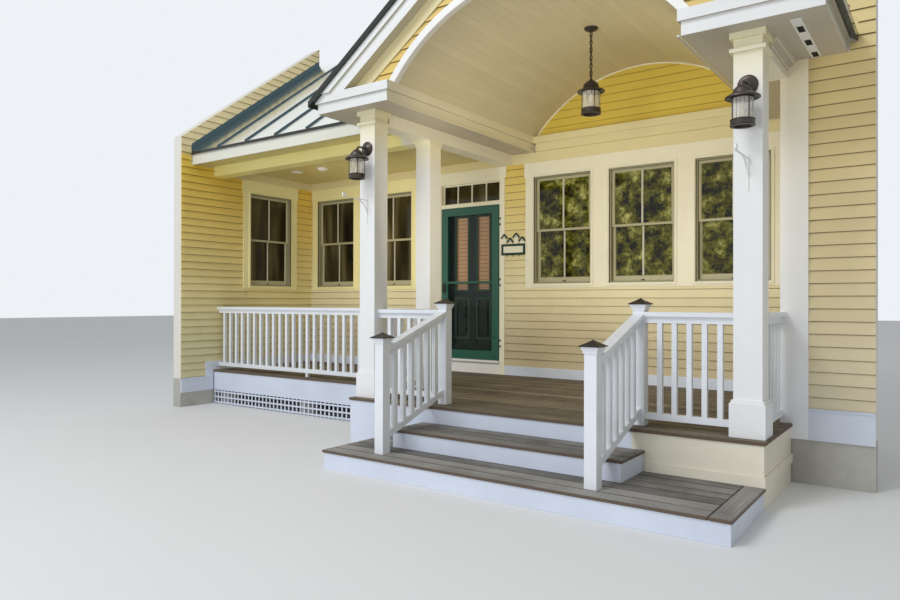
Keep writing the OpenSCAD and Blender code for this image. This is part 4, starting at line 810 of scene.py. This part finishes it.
# %% Deck boards, treads and the flat ceiling
DECK_BOARD, DECK_GAP, BORDER = 140 * MM, 5 * MM, 142 * MM
lower_low, lower_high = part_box("tread_lower")


def eased_box(low, high, edge):
    """A box between two corners with rounded edges, as a bmesh."""
    shape = bmesh.new()
    bmesh.ops.create_cube(shape, size=1)
    for vert in shape.verts:
        vert.co = [low[i] if vert.co[i] < 0 else high[i] for i in range(3)]
    return eased(shape, edge)


for name, node, longest, edge, material, right_end in (
        ("left_deck_boards", "deck_left", 3.6, 3 * MM, deck_wood, None),
        ("portico_deck_boards", "deck_portico", 3.9, 3 * MM, deck_wood, None),
        ("upper_tread_boards", "tread_upper", 3.0, 4 * MM, tread_wood, None),
        ("lower_tread_boards", "tread_lower", 3.6, 4 * MM, tread_wood, lower_high.x - BORDER)):
    sawn(name, node, DECK_BOARD, DECK_GAP, longest, edge, material, right_end)
sawn("left_ceiling_boards", "left_ceiling", 90 * MM, 0.6 * MM, 2.6, 1.5 * MM,
     low_ceiling_paint)
piece("lower_tread_border",
      eased_box((lower_high.x - BORDER + DECK_GAP, lower_low.y, lower_low.z), lower_high, 4 * MM),
      border_wood, instead_of="tread_lower")

# %% [markdown]
# The vault is a barrel of narrow tongue-and-groove boards. Each board is a thin prism
# along the barrel with a small chamfer on both lower edges, so two neighbours leave
# the fine V line that the eye reads as boarding. Prisms, castings and mouldings are all
# the same thing to a mesh: rings of corners, joined by a skin.

# %% Boards of the vault
VAULT_BOARD, CHAMFER, VAULT_JOINT_FROM_END = 90 * MM, 1.6 * MM, 0.5
spread = math.acos((cornice_top - vault_z) / vault_r)
count = round(2 * spread * vault_r / VAULT_BOARD)


def skin(shape, rings, closed=False):
    """Joins rings of corners by faces; the end rings are capped, or closed joins them."""
    loops = [[shape.verts.new(corner) for corner in ring] for ring in rings]
    if not closed:
        shape.faces.new(loops[0])
        shape.faces.new(loops[-1])
    for loop, following in zip(loops, loops[1:] + (loops[:1] if closed else [])):
        for k in range(len(loop)):
            n = (k + 1) % len(loop)
            shape.faces.new((loop[k], loop[n], following[n], following[k]))
    return shape


def prism(shape, outline, y0, y1):
    """Carries an outline of (x, z) corners along Y."""
    return skin(shape, [[(x, y, z) for x, z in outline] for y in (y0, y1)])


def on_circle(radius, angle):
    """(x, z) on a circle round the vault's axis; the angle is taken from the top."""
    return centre_x + radius * math.sin(angle), vault_z + radius * math.cos(angle)


shape, notch = bmesh.new(), CHAMFER / vault_r
for i in range(count):
    a0, a1 = (-spread + 2 * spread * k / count for k in (i, i + 1))
    section = [on_circle(radius, angle) for radius, angle in (
        (outer_r, a0), (outer_r, a1), (vault_r + CHAMFER, a1), (vault_r, a1 - notch),
        (vault_r, (a0 + a1) / 2), (vault_r, a0 + notch), (vault_r + CHAMFER, a0))]
    joint = random.uniform(vault_low.y + VAULT_JOINT_FROM_END, vault_high.y - VAULT_JOINT_FROM_END)
    prism(shape, section, vault_low.y, joint)
    prism(shape, section, joint + JOINT / 2, vault_high.y)
piece("vault_boards", shape, ceiling_paint, instead_of="vault_ceiling")

# %% [markdown]
# The newel caps are cast: a square skirt, then a roof that sags inwards to a point.

# %% Newel caps
CAP_LIP, CAP_SAG, CAP_RINGS = 8 * MM, 1.15, 11
shape = bmesh.new()
for low, high in solids("newel_caps"):
    middle, half = (low + high) / 2, (high.x - low.x) / 2
    rings = [(half - 2 * MM, low.z), (half, low.z + 2 * MM), (half, low.z + CAP_LIP - 2 * MM),
             (half - 3 * MM, low.z + CAP_LIP)]
    for t in [k / CAP_RINGS for k in range(1, CAP_RINGS + 1)]:
        rings.append(((half - 3 * MM) * (1 - t) ** CAP_SAG + 2 * MM * t,
                      low.z + CAP_LIP + (high.z - low.z - CAP_LIP) * t))
    skin(shape, [[(middle.x + sx * r, middle.y + sy * r, z)
                  for sx, sy in ((-1, -1), (1, -1), (1, 1), (-1, 1))] for r, z in rings])
piece("newel_cap_castings", shape, cap_bronze, instead_of="newel_caps")

# %% [markdown]
# Joiners cover the raw edge round a pane or a panel with a mitred moulding. One
# profile, a list of steps outwards and heights, is carried round a rectangle.

# %% Mouldings and panels of the entry door
DOOR_MOULD = [(0, -1), (0, 6), (5, 8), (14, 7), (26, 8), (33, 3), (33, -1)]
MOULD_IN, FIELD_IN, FIELD_UP, FIELD_T = 25 * MM, 50 * MM, 30 * MM, 6 * MM
PANEL_Z = (0.935, 1.45)
door_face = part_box("entry_door")[0].y


def mitred(shape, u, z, place, profile):
    """Carries a profile in mm round a rectangle; place(u, out, z) gives a corner."""
    return skin(shape, [[place(a, high * MM, b) for a, b in (
        (u[0] - step * MM, z[0] - step * MM), (u[1] + step * MM, z[0] - step * MM),
        (u[1] + step * MM, z[1] + step * MM), (u[0] - step * MM, z[1] + step * MM))]
        for step, high in profile], closed=True)


shape, fields = bmesh.new(), []
for low, high in solids("entry_door_glass"):
    for z in ((low.z, high.z), PANEL_Z):
        mitred(shape, (low.x + MOULD_IN, high.x - MOULD_IN), z, facing_front(door_face),
               DOOR_MOULD)
    fields.append(eased_box(
        (low.x + FIELD_IN, door_face - FIELD_T, PANEL_Z[0] + FIELD_UP),
        (high.x - FIELD_IN, door_face + 1 * MM, PANEL_Z[1] - FIELD_UP), 5 * MM))
piece("entry_door_mouldings", shape, moulding_enamel, body="entry_door")
piece("entry_door_panel_fields", joined(fields), entry_enamel, body="entry_door")

# %% [markdown]
# A sliding sash window is a nest of rings: a moulding on the casing, a jamb fixed in
# the wall, an upper sash near the outside and a lower sash behind it. The sash's
# profile has the bevel of putty that runs down to the glass. Each sash has one upright
# bar, which passes through the glass and stands a little out on both sides.

# %% Profiles of the sash windows
JAMB_W, SASH_GAP, STILE, FOOT_RAIL = 18 * MM, 3 * MM, 30 * MM, 62 * MM
BAR_W, BAR_OUT = 22 * MM, 11 * MM
JAMB = [(0, -160), (-8, -160), (-8, -95), (0, -95), (0, 0), (18, 0), (18, -160)]
SASH = [(0, -20), (0, 2), (10, 13), (30, 13), (30, -20)]
CASING_MOULD = [(0, -20), (0, 7), (6, 7), (6, 1), (10, 1), (10, 9), (28, 9), (33, 5), (33, -2)]
CASING_T, UPPER_DEPTH, LOWER_DEPTH = 22 * MM, 38 * MM, 72 * MM
REBATE, PANE_T, CATCH_W, CATCH_DROP = 4 * MM, 1 * MM, 44 * MM, (58 * MM, 44 * MM)
LOW_PANE = 300 * MM  # only the panes of the door's transom are lower than this


def on_wall(wing, depth):
    """place(u, out, z) for a plane that lies behind a wall's face by depth."""
    return facing_side(left_x - depth, 1) if wing else facing_front(back_y + depth)


def slab(place, u, out, z, edge):
    """An eased box between two corners that are given on a wall."""
    corners = list(zip(place(u[0], out[0], z[0]), place(u[1], out[1], z[1])))
    return eased_box([min(pair) for pair in corners], [max(pair) for pair in corners], edge)


print("a sash is", (STILE + JAMB_W) / MM, "mm wide with its jamb")

# %% [markdown]
# The six windows are alike, so one loop makes them all. What repeats is gathered into
# one piece for each kind: mouldings, jambs, sashes, panes, bars and catches.

# %% Sash windows
jambs, sashes, moulds = bmesh.new(), bmesh.new(), bmesh.new()
right_panes, left_panes, bars, rails, catches = [], [], [], [], []
for low, high in windows:
    wing = high.x - low.x < high.y - low.y
    u0, u1 = (low.y, high.y) if wing else (low.x, high.x)
    mitred(moulds, (u0, u1), (low.z, high.z), on_wall(wing, -CASING_T), CASING_MOULD)
    mitred(jambs, (u0 + JAMB_W, u1 - JAMB_W), (low.z + JAMB_W, high.z - JAMB_W),
           on_wall(wing, 0), JAMB)
    edge = JAMB_W + SASH_GAP + STILE
    middle, centre, light = (low.z + high.z) / 2, (u0 + u1) / 2, (u0 + edge, u1 - edge)
    for depth, z0, z1 in (
            (UPPER_DEPTH, middle + STILE / 2, high.z - edge),
            (LOWER_DEPTH, low.z + JAMB_W + SASH_GAP + FOOT_RAIL, middle - STILE / 2)):
        place = on_wall(wing, depth)
        mitred(sashes, light, (z0, z1), place, SASH)
        (right_panes if low.x > 0 else left_panes).append(slab(
            place, (light[0] - REBATE, light[1] + REBATE), (-REBATE, PANE_T),
            (z0 - REBATE, z1 + REBATE), 0.5 * MM))
        bars.append(slab(place, (centre - BAR_W / 2, centre + BAR_W / 2), (-BAR_OUT, BAR_OUT),
                         (z0, z1), 4 * MM))
    rails.append(slab(place, (light[0] - STILE, light[1] + STILE), (-20 * MM, 13 * MM),
                      (z0 - FOOT_RAIL, z0 - STILE), 1 * MM))
    catches.append(slab(place, (centre - CATCH_W / 2, centre + CATCH_W / 2), (12 * MM, 22 * MM),
                        [z0 - drop for drop in CATCH_DROP], 3 * MM))
for low, high in solids("window_glass"):
    if high.z - low.z < LOW_PANE:
        left_panes.append(eased_box(low, high, 0.5 * MM))
piece("window_casing_mouldings", moulds, casing_paint)
for name, shape, material, slot, node in (
        ("window_jambs", jambs, sash_paint, "sash_paint", "window_frames"),
        ("window_sashes", joined([sashes] + rails), pale_sash_paint, "sash_paint", "window_frames"),
        ("window_panes_right", joined(right_panes), greenery_reflection_glass, "glass", "window_glass"),
        ("window_panes_left", joined(left_panes), curtain_glass, "glass", "window_glass")):
    piece(name, shape, material, instead_of=node)
piece("window_bars", joined(bars), muntin_paint)
piece("sash_catches", joined(catches), oiled_bronze)

# %% [markdown]
# The plaque beside the door is a little row of cut-out gables over a framed cream
# plate. The plate is left bare. Each gable is a cream tab under two dark roof strips,
# with a peg under the peak, and small pegs hang below the frame.

# %% Plaque and bell push
FRAME_W, PLATE_T, STRIP_T, STRIP_HALF, EAVE_OUT = 30 * MM, 4 * MM, 9 * MM, 11 * MM, 15 * MM
GABLES = [130 * MM, 76 * MM, 138 * MM, 86 * MM]
TAB_HALF, TAB_FALL = 0.34, 0.42  # half a gable's width and its fall, as shares of the pitch
PLATE_Z = (2.023, 2.168)
PLATE_FRAME = [(0, 0), (0, 8), (4, 10), (26, 10), (30, 7), (30, 0)]
plaque, *_, bell = solids("wall_fittings")
plate_back = plaque[1].y
pitch = (plaque[1].x - plaque[0].x) / len(GABLES)


def strip_between(a, b, half):
    """The outline of a square-edged strip from a to b in the plane of the wall."""
    side = Vector((a[1] - b[1], b[0] - a[0])).normalized() * half
    return [(a[0] + side.x, a[1] + side.y), (b[0] + side.x, b[1] + side.y),
            (b[0] - side.x, b[1] - side.y), (a[0] - side.x, a[1] - side.y)]


tabs, roofs = [], []
for i, peak in enumerate(GABLES):
    left = plaque[0].x + i * pitch
    middle, top = left + pitch / 2, PLATE_Z[1] + peak
    half, fall, foot = TAB_HALF * pitch, TAB_FALL * pitch, PLATE_Z[1] - 5 * MM
    tabs.append(prism(bmesh.new(), [
        (middle - half, foot), (middle + half, foot), (middle + half, top - fall),
        (middle, top - 6 * MM), (middle - half, top - fall)], plate_back - PLATE_T, plate_back))
    for side in (-1, 1):
        strip = strip_between((middle, top - 4 * MM),
                              (middle + side * (half + EAVE_OUT), top - fall - 18 * MM), STRIP_HALF)
        roofs.append(prism(bmesh.new(), strip, plate_back - STRIP_T, plate_back))
    roofs.append(eased_box(
        (middle - 6 * MM, plate_back - 12 * MM, top - fall - 16 * MM),
        (middle + 6 * MM, plate_back - PLATE_T + 1 * MM, top - fall - 4 * MM), 2 * MM))
    if i:
        roofs.append(eased_box((left - 5 * MM, plate_back - 6 * MM, PLATE_Z[0] - 20 * MM),
                               (left + 5 * MM, plate_back, PLATE_Z[0] + 2 * MM), 2 * MM))
plate_x = (plaque[0].x + FRAME_W, plaque[1].x - FRAME_W)
plate_z = (PLATE_Z[0] + FRAME_W, PLATE_Z[1] - FRAME_W)
tabs.append(eased_box((plate_x[0], plate_back - PLATE_T, plate_z[0]),
                      (plate_x[1], plate_back, plate_z[1]), 1 * MM))
push = joined([eased_box(*bell, 3 * MM),
               eased_box((bell[0].x + 6 * MM, bell[0].y - 3 * MM, bell[0].z + 34 * MM),
                         (bell[1].x - 6 * MM, bell[0].y + 2 * MM, bell[0].z + 50 * MM), 3 * MM)])
for name, shape, material, slot in (
        ("plaque_plate_and_gables", joined(tabs), sign_paint, "green_frame"),
        ("plaque_frame_and_roofs",
         mitred(joined(roofs), plate_x, plate_z, facing_front(plate_back), PLATE_FRAME),
         frame_enamel, "green_frame"),
        ("bell_push", push, white_iron, "white_iron")):
    piece(name, shape, material, instead_of="wall_fittings")

# %% [markdown]
# Where two big planes meet, carpenters nail a small moulding over the joint: a bed
# moulding under the outer soffit, a bead round the vault's end, a drip cap on top of
# every skirt board. Each is a profile drawn in millimetres and run along the joint.

# %% Running mouldings
BED = [(0, 0), (64, 0), (64, -9), (54, -12), (50, -24), (38, -36), (22, -44), (14, -52),
       (12, -66), (0, -66)]
BEAD = [(0, 0), (16, 0), (16, -5), (11, -12), (0, -14)]
ARC_BEAD, ARC_STEPS = [(0, 0), (0, 24), (8, 24), (13, 19), (13, 0)], 72
left_cornice, right_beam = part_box("cornice_left"), solids("beams")[-1]


def run_along_y(profile, x, side, y0, y1):
    """A moulding under the soffit; its steps go out to one side of x, and down."""
    return prism(bmesh.new(), [(x + side * out * MM, cornice_low.z + up * MM)
                               for out, up in profile], y0, y1)


def arc_ring(angle):
    """The bead's corners at one angle of the vault's end."""
    spots = [(*on_circle(vault_r - down * MM, angle), out * MM) for down, out in ARC_BEAD]
    return [(x, back_y - out, z) for x, z, out in spots]


piece("bed_moulding", run_along_y(BED, right_beam[1].x, 1, right_beam[0].y, right_beam[1].y),
      eaves_paint)
piece("soffit_beads", joined([
    run_along_y(BEAD, cornice_low.x, 1, cornice_low.y, back_y),
    run_along_y(BEAD, left_cornice[1].x, -1, left_cornice[0].y, back_y)]),
    eaves_paint)
piece("vault_end_bead", skin(bmesh.new(), [
    arc_ring(-spread + 2 * spread * i / ARC_STEPS) for i in range(ARC_STEPS + 1)]),
    casing_paint)

# %% [markdown]
# A drip cap throws the rain off the skirt board under it. At the portico's foot a low
# base board covers the joint between the skirt and the tread.

# %% Drip caps and base boards
DRIP_T, DRIP_OUT, SKIRT_T = 18 * MM, 12 * MM, 22 * MM
BASE_H, BASE_T = 72 * MM, 10 * MM
right_skirt = solids("wall_skirts")[-1]
(_, front, _), (deck_side, _, _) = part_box("deck_skirts")
upper_low, upper_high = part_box("tread_upper")
foot, head = lower_high.z, lower_high.z + BASE_H
piece("skirt_drip_caps", joined([
    eased_box((right_skirt[0].x, right_skirt[0].y - DRIP_OUT, right_skirt[1].z - DRIP_T),
              right_skirt[1], 3 * MM),
    eased_box((left_x, left_front, SKIRT_TOP - DRIP_T),
              (left_x + SKIRT_T + DRIP_OUT, deck_front - DRIP_OUT, SKIRT_TOP), 3 * MM)]),
    skirt_paint)
piece("portico_base_boards", joined([eased_box((x0, y0, foot), (x1, y1, head), 2 * MM)
                                     for x0, x1, y0, y1 in (
    (upper_high.x, deck_side + BASE_T, front - BASE_T, front),
    (lower_low.x + DRIP_OUT, upper_low.x, front - BASE_T, front),
    (deck_side, deck_side + BASE_T, front, wing_low.y))]), portico_skirt_paint)

# %% [markdown]
# Soffits breathe through strip vents: a pale strip with punched slots. The slots are
# real openings between the bars of the strip, and behind them lies a thin dark sheet:
# painted shade in the gap.

# %% Soffit vents
VENT_T, GAP_T, VENT_EASE, GAP_EASE = 3 * MM, 1 * MM, 0.6 * MM, 0.2 * MM
SIDE_VENT_X, SIDE_VENT_START, SIDE_VENT_END_GAP = (3.628, 3.698), -0.98, 24 * MM
SIDE_SLOTS_Y, SIDE_SLOT_HALF = (-0.761, -0.456, -0.156), 65 * MM
LOW_VENT_X, LOW_VENT_Y = (-3.45, -0.94), (-0.396, -0.352)
SLOTS, FIRST_SLOT, SLOT_PITCH, SLOT_LENGTH = 41, -3.42, 60 * MM, 40 * MM
# a dark sheet in the vents' slots: painted shade in the gap
gap_shade_sheet = smooth_coat("shadowed_vent_gap", "#1E1B15", 0.8)
vent_bars, vent_gaps = [], []


def strip_vent(across, along, slots, z, axis):
    """A slotted strip under a soffit; axis is the way it runs, slots the stretches left open."""
    def bar(u0, u1, v0, v1, thick, edge):
        low, high = ((u0, v0), (u1, v1)) if axis == 1 else ((v0, u0), (v1, u1))
        return eased_box((*low, z - thick), (*high, z), edge)
    rim = (across[1] - across[0]) / 5
    inner = (across[0] + rim, across[1] - rim)
    for u0, u1 in ((across[0], inner[0]), (inner[1], across[1])):
        vent_bars.append(bar(u0, u1, *along, VENT_T, VENT_EASE))
    solid = [along[0], *[v for slot in slots for v in slot], along[1]]
    for v0, v1 in zip(solid[::2], solid[1::2]):
        if v1 - v0 > 2 * MM:
            vent_bars.append(bar(*inner, v0, v1, VENT_T, VENT_EASE))
    vent_gaps.extend(bar(*inner, v0, v1, GAP_T, GAP_EASE) for v0, v1 in slots)


strip_vent(SIDE_VENT_X, (SIDE_VENT_START, wing_low.y - SIDE_VENT_END_GAP),
           [(y - SIDE_SLOT_HALF, y + SIDE_SLOT_HALF) for y in SIDE_SLOTS_Y], cornice_low.z, 1)
starts = [FIRST_SLOT + i * SLOT_PITCH for i in range(SLOTS)]
strip_vent(LOW_VENT_Y, LOW_VENT_X, [(start, start + SLOT_LENGTH) for start in starts],
           ceiling_z, 0)
piece("soffit_vent_strips", joined(vent_bars), trim_paint)

# %% [markdown]
# Each lantern holds a pale candle sleeve under its hood and a frosted bulb below it.
# Both are turned on a lathe: a profile of radii and heights round an upright axis.

# %% Candle sleeves and bulbs
BULB = [(7, 1), (14, 6), (19, 14), (21, 24), (19, 36), (14, 46), (12, 54)]
BULB_DROP, SLEEVE_DROP, HOOD, SLEEVE_R = 58 * MM, 6 * MM, 22 * MM, 15 * MM
TURNS = [k * math.tau / 20 for k in range(20)]
frosted = smooth_coat("frosted_bulb_glass", "#F0E6CC", 0.3)
bulbs = bmesh.new()
for low, high in solids("lantern_glass"):
    middle = (low + high) / 2
    sleeve = [(SLEEVE_R, 0), (SLEEVE_R, high.z - middle.z - HOOD)]
    for profile, foot in (([(r * MM, z * MM) for r, z in BULB], middle.z - BULB_DROP),
                          (sleeve, middle.z - SLEEVE_DROP)):
        skin(bulbs, [[(middle.x + r * math.cos(turn), middle.y + r * math.sin(turn), foot + z)
                      for turn in TURNS] for r, z in profile])
piece("lantern_bulbs", bulbs, frosted)

# %% [markdown]
# The pendant hangs on a chain of long welded links. Each link is a ring of round wire
# pulled into an oval, turned a quarter against the one above, and caught in it.

# %% Long chain links
WIRE, LINK_W, LINK_L, CHAIN_PITCH = 3.5 * MM, 14 * MM, 24 * MM, 39 * MM
CHAIN_FOOT, CANOPY_H = 349 * MM, 45 * MM
pendant_low, pendant_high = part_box("pendant_lantern")
chain_z = (pendant_low.z + CHAIN_FOOT, pendant_high.z - CANOPY_H)
axis_x, axis_y, _ = (pendant_low + pendant_high) / 2
links = bmesh.new()
count = round((chain_z[1] - chain_z[0]) / CHAIN_PITCH)
for i in range(count):
    middle = chain_z[0] + (i + 0.5) * (chain_z[1] - chain_z[0]) / count
    rings = []
    for turn in TURNS:
        out, up = math.cos(turn), math.sin(turn)
        wide, tall = LINK_W * out, (LINK_L - LINK_W) * max(-1, min(1, 3 * up)) + LINK_W * up
        ring = []
        for around in [b * math.tau / 8 for b in range(8)]:
            flat, side = wide + WIRE * math.cos(around) * out, WIRE * math.sin(around)
            x, y = (flat, side) if i % 2 else (side, flat)
            ring.append((axis_x + x, axis_y + y, middle + tall + WIRE * math.cos(around) * up))
        rings.append(ring)
    skin(links, rings, closed=True)
piece("pendant_chain_links", links, oiled_bronze)
piece("soffit_vent_gaps", joined(vent_gaps), gap_shade_sheet)

# %% [markdown]
# The stage is a pale floor under a pale sky. The sky lights the porch at a plain level,
# and only looks brighter to the camera, in mirrors and through glass.

# %% Floor and sky
floor_paint, shader, add, place = new_material("pale_studio_floor")
cloud = add("TexNoise", Vector=place, Scale=0.8, Detail=2.0)
shade = add("MapRange", Value=cloud, To_Min=0.97, To_Max=1.0)
feed(shader, Roughness=0.9,
     Base_Color=add("VectorMath", "SCALE", i0=linear("#E4E4E2"), Scale=shade))
shape = bmesh.new()
bmesh.ops.create_grid(shape, x_segments=8, y_segments=8, size=60)
floor = placed("studio_floor", shape, floor_paint)
floor.location.z = -1 * MM

SKY_LIGHT, SKY_SEEN = 0.55, 1.0
world = bpy.data.worlds.new("pale_sky")
bpy.context.scene.world = world
world.use_nodes = True
add = partial(add_to, world)
rays = add("LightPath").outputs
mirrored = add("Math", "MAXIMUM", i0=rays["Is Glossy Ray"], i1=rays["Is Transmission Ray"])
seen = add("Math", "MAXIMUM", i0=rays["Is Camera Ray"], i1=mirrored)
feed(world.node_tree.nodes["Background"], Color=linear("#EEF2F6"),
     Strength=add("MapRange", Value=seen, To_Min=SKY_LIGHT, To_Max=SKY_SEEN))
print("floor and sky set")

# %% [markdown]
# A large soft lamp from the front left stands for the brighter part of the sky. Four
# weaker ones stand for the light that the ground, the deck and the walls throw back
# under the roofs, where a plain stage would leave the ceilings too dark. The camera
# stands in front of the right wing, at eye level.

# %% Lamps and camera
def soft_lamp(name, place, target, size, energy, hex_colour, bare=True):
    """A round lamp, never seen itself; a bare one isn't mirrored in glass either."""
    lamp = bpy.data.lights.new(name, "AREA")
    lamp.shape, lamp.size, lamp.energy, lamp.color = "DISK", size, energy, linear(hex_colour)[:3]
    holder = bpy.data.objects.new(name, lamp)
    holder.location = place
    holder.rotation_euler = (Vector(target) - holder.location).to_track_quat("-Z", "Y").to_euler()
    holder.visible_camera, holder.visible_glossy = False, not bare
    bpy.context.scene.collection.objects.link(holder)


soft_lamp("sky_lamp", (-2.0, -9.5, 11.0), (0.5, 0.0, 1.8), 6, 800, "#F6F9FF", bare=False)
soft_lamp("ground_glow", (1.5, -10.5, 2.2), (0.6, 0.6, 3.2), 3, 190, "#F2F5FF")
soft_lamp("porch_glow", (1.4, -0.9, 2.1), (1.4, 1.7, 2.6), 1.8, 27, "#FFF4DC")
soft_lamp("deck_glow", (-2.2, 0.3, 2.25), (-2.2, 1.7, 2.1), 1.0, 10, "#FFF4DC")
soft_lamp("vault_glow", (1.5, 0.3, 0.8), (1.5, 0.4, 3.9), 1.4, 2, "#FFF4DC")

lens = bpy.data.cameras.new("photo_camera")
lens.sensor_width, lens.lens = 36, 28.21
camera = bpy.data.objects.new("photo_camera", lens)
camera.location = (4.536, -6.162, 1.412)
camera.rotation_euler = [math.radians(angle) for angle in (90.17, -0.117, 35.64)]
bpy.context.scene.collection.objects.link(camera)
bpy.context.scene.camera = camera
bpy.context.scene.view_settings.view_transform = "Standard"
print("lamps and camera set")
